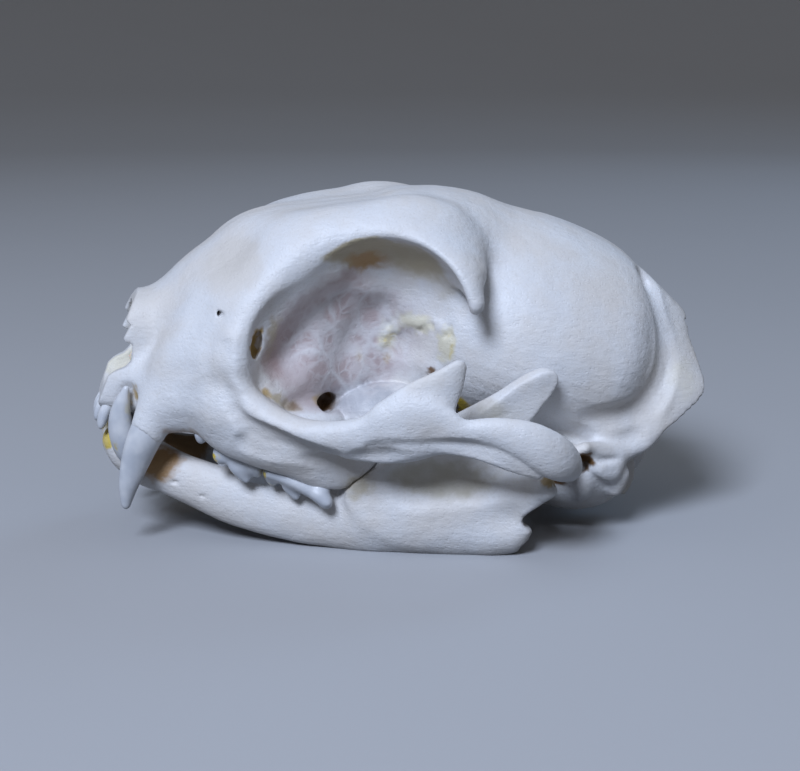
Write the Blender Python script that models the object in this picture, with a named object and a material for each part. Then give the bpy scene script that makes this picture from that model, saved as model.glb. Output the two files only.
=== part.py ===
"""Cat skull with its jaw closed, resting on its mandible.

The bones are modelled like clay. Each form is a closed mesh made with bmesh
operators; forms are joined and hollowed as signed distance fields, so that they
flow into each other with a blend radius, and the result is skinned again.

The skull frame is in millimetres: X to the animal's left, Y back from the front
of the upper jaw, Z up from the gum line of the upper teeth. The part stands in
metres with the nose pitched up, the way the skull leans on its jaw.
"""
import math

import bmesh
import bpy
import numpy as np
import openvdb
from mathutils import Matrix, Vector

SKULL_LENGTH = 0.0900                # metres, from the front of the upper jaw to the back of the crest
MM = SKULL_LENGTH / 90               # metres in one unit of the skull frame
PITCH = 10.9                         # degrees, nose up, that the skull leans back on its jaw
TILT = math.radians(PITCH)
REST = -18.9                         # level of the floor under the pitched skull
MIDDLE = 45.6                        # halfway along the pitched skull
FACE_END = 53.5                      # where the face ends and the brain case begins
GAP = 0.3                            # clearance between nodes
ROOT = 3.0                           # how deep a cheek tooth sits in its bone
VOXEL = 0.5                          # cell size of the clay
BAND = 6.0                           # how far distances are kept, more than any blend radius
BUDGETS = {"face": 3200, "braincase": 2300, "zygomatic_arch": 460, "auditory_bulla": 220,
           "mandible": 900, "upper_canine": 120, "lower_canine": 100}

SKULL_BOX = ((0, -4, -12), (40, 96, 48))
JAW_BOX = ((0, -2, -24), (36, 72, 28))


# ---------------------------------------------------------------- forms

def trace(stations, steps):
    """Rows along a smooth curve through the stations, dense at both ends."""
    rows = np.array(stations, dtype=float)
    ends = np.vstack([2 * rows[0] - rows[1], rows, 2 * rows[-1] - rows[-2]])
    u = np.linspace(0, len(rows) - 1, 240)
    i = np.minimum(u.astype(int), len(rows) - 2)
    f = (u - i)[:, None]
    a, b, c, d = ends[i], ends[i + 1], ends[i + 2], ends[i + 3]
    dense = 0.5 * (2 * b + (c - a) * f + (2 * a - 5 * b + 4 * c - d) * f ** 2
                   + (3 * b - a - 3 * c + d) * f ** 3)
    run = np.cumsum(np.r_[0, np.linalg.norm(np.diff(dense[:, :3], axis=0), axis=1)])
    at = run[-1] * (1 - np.cos(np.pi * np.arange(steps + 1) / steps)) / 2
    return at, np.stack([np.interp(at, run, column) for column in dense.T], axis=1)


def limb(stations, side=(1, 0, 0), around=20, along=26, power=2.0, taper=0.0):
    """A closed limb along stations of x, y, z, half width along side and half depth."""
    at, rows = trace([list(s) + [s[-1]] * (5 - len(s)) for s in stations], along)
    places, widths, depths = rows[:, :3], rows[:, 3], rows[:, 4]
    tangents = np.gradient(places, axis=0) + 1e-9
    tangents /= np.linalg.norm(tangents, axis=1)[:, None]
    across = np.array(side, dtype=float) - tangents * (tangents @ np.array(side, dtype=float))[:, None]
    across /= np.linalg.norm(across, axis=1)[:, None]
    deep = np.cross(across, tangents)
    first, last = (widths[0] + depths[0]) / 2, (widths[-1] + depths[-1]) / 2
    head = 1 - np.clip(at / first, 0, 1)
    tail = 1 - np.clip((at[-1] - at) / last, 0, 1)
    rim = np.sqrt(np.clip(1 - head ** 2, 0, 1) * np.clip(1 - tail ** 2, 0, 1))

    shape = bmesh.new()
    bmesh.ops.create_uvsphere(shape, u_segments=around, v_segments=along, radius=1)
    for vertex in shape.verts:
        ring = round(math.acos(max(-1.0, min(1.0, vertex.co.z))) / math.pi * along)
        turn = math.atan2(vertex.co.y, vertex.co.x)
        wide, high = (math.copysign(abs(v) ** (2 / power), v) for v in (math.cos(turn), math.sin(turn)))
        wide *= 1 - taper * high
        vertex.co = Vector(places[ring] + rim[ring] * (widths[ring] * wide * across[ring]
                                                       + depths[ring] * high * deep[ring]))
    return shape


def ball(centre, radii, turn=(0, 0, 0)):
    """An ellipsoid, turned by degrees about X, Y and Z."""
    place = Matrix.Translation(centre)
    for axis, degrees in zip("ZYX", reversed(turn)):
        place = place @ Matrix.Rotation(math.radians(degrees), 4, axis)
    place = place @ Matrix.Diagonal((*radii, 1))
    shape = bmesh.new()
    bmesh.ops.create_icosphere(shape, subdivisions=4, radius=1, matrix=place)
    return shape


def block(low, high):
    """A box between two corners."""
    size, middle = Vector(high) - Vector(low), (Vector(high) + Vector(low)) / 2
    shape = bmesh.new()
    bmesh.ops.create_cube(shape, size=1,
                          matrix=Matrix.Translation(middle) @ Matrix.Diagonal((*size, 1)))
    return shape


def plate(outline, thick, place):
    """A plate with a smooth closed outline of y, z points, bent by place(y, z) -> x."""
    points = np.array(outline, dtype=float)
    count = len(points)
    curve = []
    for i in range(count):
        a, b, c, d = (points[(i + k) % count] for k in (-1, 0, 1, 2))
        for f in (0, 0.25, 0.5, 0.75):
            curve.append(0.5 * (2 * b + (c - a) * f + (2 * a - 5 * b + 4 * c - d) * f ** 2
                                + (3 * b - a - 3 * c + d) * f ** 3))
    shape = bmesh.new()
    face = shape.faces.new([shape.verts.new((0, y, z)) for y, z in curve])
    wall = bmesh.ops.extrude_face_region(shape, geom=[face])
    moved = [v for v in wall["geom"] if isinstance(v, bmesh.types.BMVert)]
    bmesh.ops.translate(shape, vec=(thick, 0, 0), verts=moved)
    bmesh.ops.triangulate(shape, faces=shape.faces)
    for _ in range(2):
        long_edges = [e for e in shape.edges if e.calc_length() > 2.5]
        bmesh.ops.subdivide_edges(shape, edges=long_edges, cuts=1)
        bmesh.ops.triangulate(shape, faces=shape.faces)
    for vertex in shape.verts:
        vertex.co.x += place(vertex.co.y, vertex.co.z) - thick / 2
    bmesh.ops.recalc_face_normals(shape, faces=shape.faces)
    return shape


# ---------------------------------------------------------------- clay

def main_piece(points, faces):
    """The largest piece of a skin, without crumbs and bubbles."""
    owner = list(range(len(points)))

    def top(i):
        while owner[i] != i:
            owner[i] = owner[owner[i]]
            i = owner[i]
        return i

    for face in faces:
        for corner in face[1:]:
            owner[top(corner)] = top(face[0])
    tops = np.array([top(i) for i in range(len(points))])
    names, counts = np.unique(tops, return_counts=True)
    kept = tops == names[counts.argmax()]
    number = np.cumsum(kept) - 1
    return points[kept], [[int(number[i]) for i in f] for f in faces if kept[f[0]]]


class Clay:
    """A lump that forms are joined to and cut from, on one side of the skull."""

    def __init__(self, box, voxel):
        self.voxel = voxel
        self.low = np.floor(np.array(box[0]) / voxel).astype(int)
        self.low[0] = 0
        size = np.ceil(np.array(box[1]) / voxel).astype(int) - self.low + 1
        self.cells = np.full(size, BAND, dtype=np.float32)
        self.frame = openvdb.createLinearTransform(voxelSize=voxel)

    def field(self, form, swell=0.0):
        """The slices and distances of a form inside this lump's cells."""
        bmesh.ops.triangulate(form, faces=form.faces)
        form.verts.index_update()
        points = np.array([v.co for v in form.verts], dtype=np.float32)
        faces = np.array([[v.index for v in f.verts] for f in form.faces], dtype=np.int32)
        form.free()
        grid = openvdb.FloatGrid.createLevelSetFromPolygons(
            points, triangles=faces, transform=self.frame, halfWidth=BAND / self.voxel)
        low, high = (np.array(corner) for corner in grid.evalActiveVoxelBoundingBox())
        start = np.maximum(low, self.low)
        stop = np.minimum(high + 1, self.low + self.cells.shape)
        distances = np.zeros(tuple(stop - start), dtype=np.float32)
        grid.copyToArray(distances, ijk=tuple(int(v) for v in start))
        window = tuple(slice(a, b) for a, b in zip(start - self.low, stop - self.low))
        return window, distances - swell

    def add(self, form, blend=1.5, swell=0.0):
        """Joins a form, with a fillet as wide as blend."""
        window, b = self.field(form, swell)
        a = self.cells[window]
        near = np.maximum(blend - np.abs(a - b), 0) / blend
        near[(a >= BAND) | (b >= BAND)] = 0
        self.cells[window] = np.minimum(a, b) - near ** 2 * blend / 4

    def cut(self, form, blend=1.0, swell=0.0):
        """Cuts a form away, with an edge as round as blend."""
        window, b = self.field(form, swell)
        a = self.cells[window]
        near = np.maximum(blend - np.abs(a + b), 0) / blend
        near[(a <= -BAND) | (-b <= -BAND)] = 0
        self.cells[window] = np.maximum(a, -b) + near ** 2 * blend / 4

    def keep_off(self, other, gap):
        """Cuts another lump away, with a gap round it."""
        start = np.maximum(self.low, other.low)
        stop = np.minimum(self.low + self.cells.shape, other.low + other.cells.shape)
        mine = tuple(slice(a, b) for a, b in zip(start - self.low, stop - self.low))
        theirs = tuple(slice(a, b) for a, b in zip(start - other.low, stop - other.low))
        self.cells[mine] = np.maximum(self.cells[mine], gap - other.cells[theirs])

    def hold(self, distances):
        """A lump of the same cells with other distances."""
        lump = Clay.__new__(Clay)
        lump.voxel, lump.low, lump.frame, lump.cells = self.voxel, self.low, self.frame, distances
        return lump

    def beyond(self, *planes):
        """Distances to the inside of some planes, each an outward normal and a point."""
        x, y, z = (self.voxel * (start + np.arange(n)) for start, n in zip(self.low, self.cells.shape))
        depth = np.full(self.cells.shape, -1000.0, dtype=np.float32)
        for normal, point in planes:
            a, b, c = np.array(normal) / np.linalg.norm(normal)
            reach = a * point[0] + b * point[1] + c * point[2]
            depth = np.maximum(depth, a * x[:, None, None] + b * y[:, None] + c * z - reach)
        return depth.astype(np.float32)

    def parted(self, region):
        """The lump inside and outside a region, with a thin cut between them."""
        inside = np.maximum(self.cells, region + GAP / 2)
        return self.hold(inside), self.hold(np.maximum(self.cells, GAP / 2 - region))

    def skin(self, both_sides=True):
        """Points and faces of the lump's surface, mirrored to both sides or not."""
        cells, low = self.cells, self.low.copy()
        if both_sides:
            cells = np.concatenate([cells[:0:-1], cells])
            low[0] = -(self.cells.shape[0] - 1)
        grid = openvdb.FloatGrid(BAND)
        grid.copyFromArray(np.clip(cells, -BAND, BAND), ijk=tuple(int(v) for v in low))
        grid.transform = self.frame
        points, triangles, quads = grid.convertToPolygons(isovalue=0.0, adaptivity=0.0)
        return main_piece(points, triangles.tolist() + quads.tolist())


# ---------------------------------------------------------------- cranium

def brain_case(clay):
    """The egg of the brain case, with the temple narrowing in front."""
    clay.add(limb([(0, 38, 25.0, 13.0, 12), (0, 44, 25.4, 14.6, 14.2), (0, 50, 24.6, 17.6, 15.8),
                   (0, 57, 23.6, 20.6, 16.4), (0, 64, 22.6, 21.6, 16.6), (0, 71, 21.4, 21.2, 15.8),
                   (0, 78, 20.0, 18.8, 13.4), (0, 83, 18.5, 15.0, 10.5)], around=28), 3)


def forehead(clay):
    """The domed frontal and the brow edge that ends in the postorbital hook."""
    clay.add(limb([(0, 19.5, 24.8, 6.0, 4), (0, 24, 27.4, 9.5, 5.4), (0, 29, 29.2, 12.0, 6.4),
                   (0, 35, 30.7, 14.0, 7.2), (0, 41, 31.6, 15.5, 8.4), (0, 48, 31.0, 15.0, 9.7),
                   (0, 56, 29.0, 13, 10.8)], around=28), 4)
    clay.add(limb([(17.6, 18.0, 11.5, 1.8), (17.0, 17.8, 16.0, 2.0), (15.6, 20.0, 21.4, 2.4),
                   (14.4, 23.8, 26.6, 2.6), (13.9, 29.0, 31.4, 2.5), (15.2, 35, 33.4, 2.5),
                   (17.6, 40.2, 33.0, 2.5), (20.4, 44.2, 31.0, 2.2), (23, 47.2, 28.4, 1.6),
                   (24.4, 48.8, 26.0, 0.8)], side=(0.2, -1, 0.2), along=36), 4)
    clay.add(limb([(13.0, 44, 34.5, 6, 3), (17.5, 46, 32.2, 4.4, 2.4), (22, 48.0, 29.4, 2.2, 1.4)],
                  side=(0, 1, 0)), 4)


def snout(clay):
    """Nasals, maxillae and premaxillae, with the swelling over the canine root."""
    clay.add(limb([(0, 1.6, 3.2, 5.6, 3.3), (0, 6, 5, 9.0, 5), (0, 12, 7.5, 11.2, 7.2),
                   (0, 19, 10, 15.0, 10), (0, 26, 11.5, 17, 10.5), (0, 33, 12, 15, 10)],
                  power=2.6), 3)
    clay.add(limb([(0, 3.4, 13.2, 4.6, 3.4), (0, 6.5, 14.2, 6.0, 3.9), (0, 10, 15.8, 8.2, 5.2),
                   (0, 14, 18.0, 10.5, 7.0), (0, 19, 20.8, 13.4, 8.7), (0, 25, 22.8, 14.5, 10.2),
                   (0, 33, 25, 13.5, 10.8)], power=2.2, taper=0.12), 3)
    clay.add(limb([(5.0, 2.4, 4.5, 1.6), (5.4, 3.8, 9.5, 1.5), (5.0, 4.6, 13.4, 1.3),
                   (3.8, 6.0, 16.6, 1.1)], side=(1, 0, 0)), 1.6)
    clay.add(limb([(10.4, 7.8, 1.0, 2.6), (10.2, 9.2, 5.5, 2.8), (9.6, 11.5, 11.5, 2.5),
                   (8.4, 14.5, 17, 1.6)], side=(1, 0, 0)), 3)
    clay.add(limb([(13.5, 16, 4, 2.4, 3), (16.8, 22, 3.0, 3.0, 4.2), (18.6, 29, 2.0, 2.8, 4.2),
                   (18.6, 35.5, 2.6, 1.8, 2.8)], side=(1, 0, 0)), 2.5)


def palate(clay):
    """Floor of the snout, the wings beside the throat and the base of the brain case."""
    clay.add(limb([(0, 3, 2.6, 5, 1.8), (0, 12, 3, 8.5, 2.2), (0, 24, 3.0, 13.5, 2.6),
                   (0, 34, 2.6, 13.5, 2.2)]), 2)
    clay.add(limb([(0, 28, 14, 9.0, 11), (0, 36, 16, 8.3, 12), (0, 44, 17, 8.8, 12),
                   (0, 52, 17, 10, 10)], power=2.6), 3)
    clay.add(limb([(0, 40, 8.6, 6, 2.6), (0, 54, 7.6, 6.6, 2.6), (0, 68, 6.6, 7, 2.6),
                   (0, 81, 5.0, 6.5, 2.4)]), 2.5)
    clay.add(limb([(6.6, 33, 5, 4, 1.2), (6.2, 41, 5.0, 4, 0.9), (6.0, 48, 4.4, 3, 0.8),
                   (6.2, 52.5, 2.0, 0.9, 0.7)], side=(0, 0, 1)), 2)


def cheek(clay):
    """The zygomatic arch, from the root in front to the joint over the jaw."""
    clay.add(limb([(16.8, 18.4, 17.0, 2.4, 1.6), (17.6, 18.2, 12.5, 2.8, 1.8),
                   (18.8, 19.4, 8.4, 3.0, 2.1), (20.4, 23.0, 6.0, 2.6, 2.4),
                   (23.0, 28.0, 5.2, 2.5, 2.3), (25.6, 33.5, 6.0, 3.0, 1.9),
                   (27.6, 38.8, 7.6, 4.0, 1.6), (29.4, 44.2, 10.0, 4.2, 1.4),
                   (31.2, 50, 10.2, 2.8, 1.4), (32.8, 56, 8.8, 1.4, 1.0),
                   (33.3, 59, 7.8, 0.8, 0.7)], side=(0.2, -0.5, 1), along=44), 2.5)
    clay.add(limb([(30.4, 46.5, 12.8, 0.8, 0.8), (31.8, 51, 12.6, 1.6, 1.2),
                   (33.0, 56, 11.6, 2.5, 1.5), (33.2, 60.5, 9.8, 3.3, 1.8),
                   (31.6, 64.6, 8.6, 2.6, 2.2), (27.8, 67.4, 8.8, 2.2, 3.2),
                   (22.5, 69, 9.6, 2.4, 4), (17, 69.5, 11, 3, 4)], side=(0, 0, 1)), 1.0)
    clay.add(limb([(27.6, 38.5, 7, 4.6, 1.6), (28.7, 42.4, 12.4, 3.8, 1.4),
                   (29.3, 45.0, 16.4, 2.2, 1.2), (29.7, 46.7, 20.0, 0.7, 0.7)], side=(0, 1, -0.5)),
             2.0)


def ear(clay):
    """The process behind the ear and the shelf over it."""
    clay.add(limb([(21, 68, 10.5, 2.0), (20.4, 73, 9.8, 1.8), (19.6, 78, 10.2, 1.6),
                   (18, 82, 13.5, 1.4)], side=(0, 0, 1)), 2.5)
    clay.add(ball((18.0, 75.8, 5.2), (2.4, 2.6, 3.4)), 2)
    clay.add(ball((14.4, 78.2, 3.6), (2.0, 1.6, 3.8), (12, 0, 0)), 2)


def nape(clay):
    """The occipital plate, its condyles and the crests on top and behind."""
    clay.add(limb([(0, 73, 15.0, 18.0, 11), (0, 78, 14, 16.5, 9.5), (0, 81.5, 13.5, 12, 7.5)],
                  power=2.4), 3)
    clay.add(ball((14.0, 75.0, 12.5), (5.4, 6, 7)), 2)
    clay.add(limb([(5.5, 76.5, 3.6, 2.4), (6.4, 80.4, 4.4, 2.8), (6.6, 82.2, 7.2, 2.4),
                   (6.2, 82.0, 10.0, 1.8)], side=(1, 0, 0)), 1.5)
    clay.add(limb([(0, 62, 38.0, 1.2, 0.8), (0, 70, 36.6, 1.2, 1.0), (0, 78, 33.4, 1.5, 1.3),
                   (0, 85.5, 28.6, 2, 1.6)], side=(1, 0, 0)), 2)
    clay.add(limb([(0, 80.5, 30.6, 5.0, 1.2), (6, 81.5, 29.6, 4.6, 1.1),
                   (11, 82.4, 26.6, 4.8, 1.0), (14.8, 83.0, 22.8, 5.0, 1.0),
                   (17.0, 81.8, 18.8, 4.6, 1.0), (18.2, 79.6, 14.6, 3.4, 1.1),
                   (18.6, 78, 9.5, 1.8, 1.4)], side=(0.2, 0.8, -0.55), along=36), 1.6)


def eye_sockets(clay):
    """The orbits: a low front hollow that runs into a higher and wider rear one."""
    clay.cut(ball((20.0, 28.6, 16.8), (9.0, 9.0, 9.0)), 1.2)
    clay.cut(ball((21.5, 37.0, 22.6), (11.0, 11.6, 11.0)), 1.2)
    clay.cut(ball((22.0, 33.0, 19.6), (11.0, 10.5, 10.5)), 1.2)


def openings(clay):
    """Nose, throat, ears, the joints of the jaw and the hole for the spine."""
    clay.cut(ball((20.0, 28.6, 16.8), (8.6, 9.0, 9.0)), 1.0)
    clay.cut(ball((20.5, 37.0, 22.6), (9.6, 11.4, 10.8)), 1.0)
    clay.cut(ball((0, 0.6, 11.0), (4.2, 6.5, 6.2), (-14, 0, 0)), 0.8)
    clay.cut(limb([(0, 36, 4.4, 4.2, 2.6), (0, 46, 4.4, 4.3, 3.2), (0, 55, 3.0, 4.3, 4)]), 1)
    clay.cut(ball((0, 83.5, 8.4), (6.2, 9, 5.0)), 1)
    clay.cut(limb([(14.6, 15, 7.4, 1.9, 1.3), (15.8, 20, 8.4, 2.0, 1.3),
                   (17.4, 26, 9.6, 2.2, 1.6)]), 0.6)
    clay.cut(ball((20.6, 72.0, 5.4), (5, 2.4, 2.8)), 0.8)
    clay.cut(limb([(19, 63.6, 4.4, 3.1), (31, 62.4, 5.0, 3.1)], side=(0, 1, 0)), 0.8)


def bulla(clay):
    """The swollen ear capsule under the brain case."""
    clay.add(ball((12.2, 69.6, 3.8), (6.2, 9.8, 6.4), (-6, 0, -10)), 1.2)


def cranium(voxel):
    """The whole upper skull as one lump."""
    clay = Clay(SKULL_BOX, voxel)
    for build in (brain_case, forehead, snout, palate, eye_sockets, cheek, ear, nape, bulla, openings):
        build(clay)
    return clay


# ---------------------------------------------------------------- jaw

def jaw_blade(y, z):
    """How far out the blade of the jaw stands, leaning out as it rises."""
    return 20.8 + 0.10 * (z + 4) + 0.05 * (y - 50) + 0.12 * min(0, y - 48)


def jaw(voxel):
    """The left half of the mandible."""
    clay = Clay(JAW_BOX, voxel)
    clay.add(limb([(2.2, 5.4, -4.0, 1.6, 2.4), (3.4, 8.8, -5.8, 3.0, 3.4),
                   (6.2, 14, -7.4, 3.6, 2.8), (9.8, 21, -8.2, 4.0, 2.4),
                   (12.6, 28, -8.4, 4.4, 2.4), (15.4, 35, -8.0, 4.4, 2.4),
                   (18.0, 42, -7.0, 4.4, 2.2), (20.0, 49, -6.2, 3.8, 1.9),
                   (21.8, 56, -5.4, 3.2, 1.6), (23.4, 61.8, -4.4, 1.6, 1.2)], side=(0, 0, 1),
                  along=36), 2)
    clay.add(plate([(37, -4), (39.5, 0.6), (43.5, 4.4), (48.5, 8.0), (53.5, 12.8), (57.8, 17.2),
                    (61.4, 19.6), (62.6, 17.6), (61.2, 12.5), (59.6, 7.4), (59.8, 3.6), (60.6, -2),
                    (58.4, -6), (46, -8)], 1.4, jaw_blade), 2, 0.3)
    clay.add(limb([(21.6, 57.6, 1.0, 2.4, 1.2), (22.6, 61.4, 2.8, 2.2, 1.8)], side=(0, 0, 1)), 1.5)
    clay.add(limb([(17.6, 63.0, 3.0, 1.6), (22, 63.2, 3.6, 2.0), (27.4, 62.2, 4.0, 1.7)],
                  side=(0, 1, 0)), 1.5)
    clay.add(limb([(20.6, 46, -2.0, 1.2), (22.8, 54, 0.2, 1.1), (24.3, 60.5, 3.0, 1)],
                  side=(0, 0, 1)), 2)
    clay.add(limb([(22.6, 57, -5.6, 2.0, 1.5), (23.8, 62.2, -4.6, 1.6, 1.3)], side=(0, 0, 1)), 1)
    return clay


# ---------------------------------------------------------------- teeth

def upper_canine():
    """The long upper canine, curved back, from its root to the tip."""
    return limb([(9.6, 11.5, 8, 1.9, 1.4), (10.4, 9.0, 2.5, 2.5, 1.9), (10.7, 7.8, -1.0, 2.4, 1.8),
                 (10.4, 7.0, -6.5, 1.6, 1.3), (10.1, 6.8, -12.4, 0.35, 0.35)], side=(0, 1, 0))


def lower_canine():
    """The lower canine that stands in front of the upper one."""
    return limb([(5.8, 8.6, -7, 1.7, 1.4), (6.6, 5.6, -3.4, 2.0, 1.6), (7.4, 4.2, 0.8, 1.6, 1.3),
                 (8.1, 4.4, 5.4, 0.35, 0.35)], side=(0, 1, 0))


def cheek_tooth(clay, start, end, cusps, thick):
    """A blade tooth between two points of the gum line with cusps given along it."""
    start, end = Vector(start), Vector(end)
    for along, drop, reach in cusps:
        foot = start.lerp(end, along)
        tip = foot + Vector((0, 0, drop))
        root = foot - Vector((0, 0, math.copysign(ROOT, drop)))
        clay.add(limb([(*root, reach, thick), (*foot, reach, thick), (*tip, 0.4, 0.3)],
                      side=(0, 1, 0), around=14, along=14), 0.8)


def upper_row(clay):
    """Incisors and cheek teeth of the upper jaw."""
    for x, y, size in ((1.2, 1.4, 0.7), (3.1, 1.8, 0.8), (5.4, 2.8, 1.0)):
        clay.add(limb([(x, y + 0.8, 2.4, size, size), (x, y, -0.4 * size, size * 0.9, size * 0.8),
                       (x, y - 0.2, -2.0 * size, size * 0.5, size * 0.4)], around=12, along=12),
                 0.6)
    cheek_tooth(clay, (12.2, 14.4, 1.4), (12.6, 16.6, 1.2), [(0.5, -1.8, 1.1)], 0.8)
    cheek_tooth(clay, (13.8, 17.6, 0.0), (15.8, 24.0, -1.2), [(0.15, -1.2, 1.4), (0.55, -4.0, 2.2),
                                                              (0.9, -1.2, 1.4)], 1.3)
    cheek_tooth(clay, (16.6, 24.6, -1.2), (19.6, 34, -2.6), [(0.1, -1.4, 1.4), (0.45, -4.0, 2.3),
                                                             (0.85, -2.6, 2.0)], 1.4)


def lower_row(clay):
    """Incisors and cheek teeth of the left half of the mandible."""
    for x, y in ((0.9, 4.2), (2.4, 4.4), (3.9, 4.8)):
        clay.add(limb([(x, y + 1, -4, 0.8), (x, y, -2.0, 0.7), (x, y, -0.8, 0.4)], around=12,
                      along=12), 0.5)
    cheek_tooth(clay, (8.8, 17.2, -4.8), (10.6, 22.2, -4.8), [(0.15, 1.2, 1.2), (0.5, 3.4, 1.9),
                                                              (0.9, 1.4, 1.2)], 1.1)
    cheek_tooth(clay, (10.9, 22.8, -4.6), (13.0, 29.2, -4.6), [(0.12, 1.4, 1.3), (0.45, 4.0, 2.1),
                                                               (0.85, 2.0, 1.4)], 1.2)
    cheek_tooth(clay, (13.2, 29.6, -4.6), (15.4, 37.0, -4.4), [(0.25, 4.0, 2.2), (0.7, 4.6, 2.3)],
                1.3)


# ---------------------------------------------------------------- parts

def part_cranium(clay):
    """The nodes of the upper skull, each a lump with whether it spans both sides."""
    cheek_front = clay.beyond(((-0.44, -0.9, 0), (23.5, 29, 5)), ((-1, 0, 0), (21.6, 0, 0)),
                              ((0, 1, 0), (0, 52, 0)), ((0, 0, 1), (0, 0, 22)))
    cheek_back = clay.beyond(((0, -1, 0), (0, 51, 0)), ((-1, 0, 0), (24.5, 0, 0)), ((0, 0, 1),
                                                                                    (0, 0, 16)))
    ear_box = clay.beyond(((-1, 0, 0), (4, 0, 0)), ((1, 0, 0), (19.5, 0, 0)), ((0, -1, 0),
                                                                               (0, 58.5, 0)),
                          ((0, 1, 0), (0, 76.2, 0)), ((0, 0, 1), (0, 0, 3.0)))
    front = clay.beyond(((0, 1, 0), (0, FACE_END, 0)))
    arch, clay = clay.parted(np.minimum(cheek_front, cheek_back))
    capsule, clay = clay.parted(ear_box)
    face, case = clay.parted(front)
    return {"face": (face, True), "braincase": (case, True),
            "zygomatic_arch": (arch, False), "auditory_bulla": (capsule, False)}


def material(name, colour, roughness):
    """A plain surface of one colour."""
    surface = bpy.data.materials.new(name)
    surface.use_nodes = True
    shader = surface.node_tree.nodes["Principled BSDF"]
    shader.inputs["Base Color"].default_value = (*colour, 1)
    shader.inputs["Roughness"].default_value = roughness
    shader.inputs["Metallic"].default_value = 0
    return surface


def set_down(points):
    """Points in metres, the skull pitched and set on the floor at the origin."""
    turned = Matrix.Rotation(-TILT, 3, "X")
    return (np.array(points) @ np.array(turned).T - np.array([0, MIDDLE, REST])) * MM


def make_node(name, points, faces, budget, surface):
    """One object, thinned out to its budget of triangles."""
    mesh = bpy.data.meshes.new(name)
    mesh.from_pydata(set_down(points).tolist(), [], faces)
    mesh.shade_smooth()
    mesh.materials.append(surface)
    node = bpy.data.objects.new(name, mesh)
    bpy.context.scene.collection.objects.link(node)
    mesh.calc_loop_triangles()
    if len(mesh.loop_triangles) > budget:
        thin = node.modifiers.new("Thin", "DECIMATE")
        thin.ratio = budget / len(mesh.loop_triangles)
    return node


def make_sides(name, points, faces, budget, surface):
    """The left object and its mirror image on the right."""
    points = np.array(points)
    left = make_node(name + "_left", points, faces, budget, surface)
    right = make_node(name + "_right", points * (-1, 1, 1), [f[::-1] for f in faces], budget, surface)
    return left, right


def level(nodes):
    """Cuts the nodes flat where they would reach below the floor."""
    mesh = bpy.data.meshes.new("floor_cutter")
    slab = block((-50, -60, -10), (50, 60, 0))
    slab.to_mesh(mesh)
    slab.free()
    mesh.transform(Matrix.Scale(MM, 4))
    cutter = bpy.data.objects.new("floor_cutter", mesh)
    bpy.context.scene.collection.objects.link(cutter)
    cutter.hide_render = True
    cutter.display_type = "WIRE"
    for node in nodes:
        rest = node.modifiers.new("Rest", "BOOLEAN")
        rest.operation = "DIFFERENCE"
        rest.solver = "EXACT"
        rest.object = cutter


def main():
    """Empties the scene and makes every node."""
    for thing in list(bpy.data.objects):
        bpy.data.objects.remove(thing)
    bone = material("bone", (0.80, 0.79, 0.76), 0.5)
    enamel = material("enamel", (0.80, 0.82, 0.84), 0.3)

    skull, half_jaw = cranium(VOXEL), jaw(VOXEL)
    upper_row(skull)
    lower_row(half_jaw)
    skull.cut(upper_canine(), 0.3, GAP)
    skull.cut(lower_canine(), 0.3, GAP)
    half_jaw.cut(lower_canine(), 0.3, GAP)
    skull.keep_off(half_jaw, GAP)
    half_jaw.cells = np.maximum(half_jaw.cells, half_jaw.beyond(((-1, 0, 0), (GAP / 2, 0, 0))))

    for name, (lump, both) in part_cranium(skull).items():
        points, faces = lump.skin(both)
        (make_node if both else make_sides)(name, points, faces, BUDGETS[name], bone)
    level(make_sides("mandible", *half_jaw.skin(False), BUDGETS["mandible"], bone))
    for name, tooth in (("upper_canine", upper_canine()), ("lower_canine", lower_canine())):
        tooth.verts.index_update()
        points = [tuple(v.co) for v in tooth.verts]
        faces = [[v.index for v in f.verts] for f in tooth.faces]
        make_sides(name, points, faces, BUDGETS[name], enamel)


if __name__ == "__main__":
    main()
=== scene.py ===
"""Cat skull with its jaw closed, in a plain studio.

Bone is modelled like clay: closed bmesh forms are joined and hollowed as signed
distance fields, swollen and creased along paths, and skinned again. Sizes of the
forms are in the skull frame: millimetres, X to the animal's left, Y back from the
front of the upper jaw, Z up from the gum line of the upper teeth.
"""
import functools
import math
import random

import bmesh
import bpy
import numpy as np
import openvdb
from mathutils import Matrix, Vector, noise


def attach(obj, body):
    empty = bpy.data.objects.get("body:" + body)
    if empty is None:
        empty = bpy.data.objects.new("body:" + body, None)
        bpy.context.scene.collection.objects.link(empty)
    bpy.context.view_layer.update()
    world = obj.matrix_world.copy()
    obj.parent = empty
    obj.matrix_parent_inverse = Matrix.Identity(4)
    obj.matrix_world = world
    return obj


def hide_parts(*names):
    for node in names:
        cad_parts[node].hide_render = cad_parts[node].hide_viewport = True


bl_info = {
    "name": "Cat Skull",
    "version": (1, 0, 0),
    "blender": (4, 5, 0),
    "location": "View3D > Sidebar > Skull",
    "description": "Builds the bones and teeth of a cat skull, and a studio round it",
    "category": "Add Mesh",
}

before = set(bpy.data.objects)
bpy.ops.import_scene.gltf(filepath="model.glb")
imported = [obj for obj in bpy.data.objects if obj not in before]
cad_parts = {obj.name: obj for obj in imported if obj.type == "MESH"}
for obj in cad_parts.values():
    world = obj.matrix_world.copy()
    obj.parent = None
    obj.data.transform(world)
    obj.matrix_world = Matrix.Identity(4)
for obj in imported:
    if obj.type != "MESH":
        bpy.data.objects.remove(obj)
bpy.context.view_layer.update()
noise.seed_set(1)                    # so that surfaces, stains and painted shade wander the same way in each run

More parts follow.
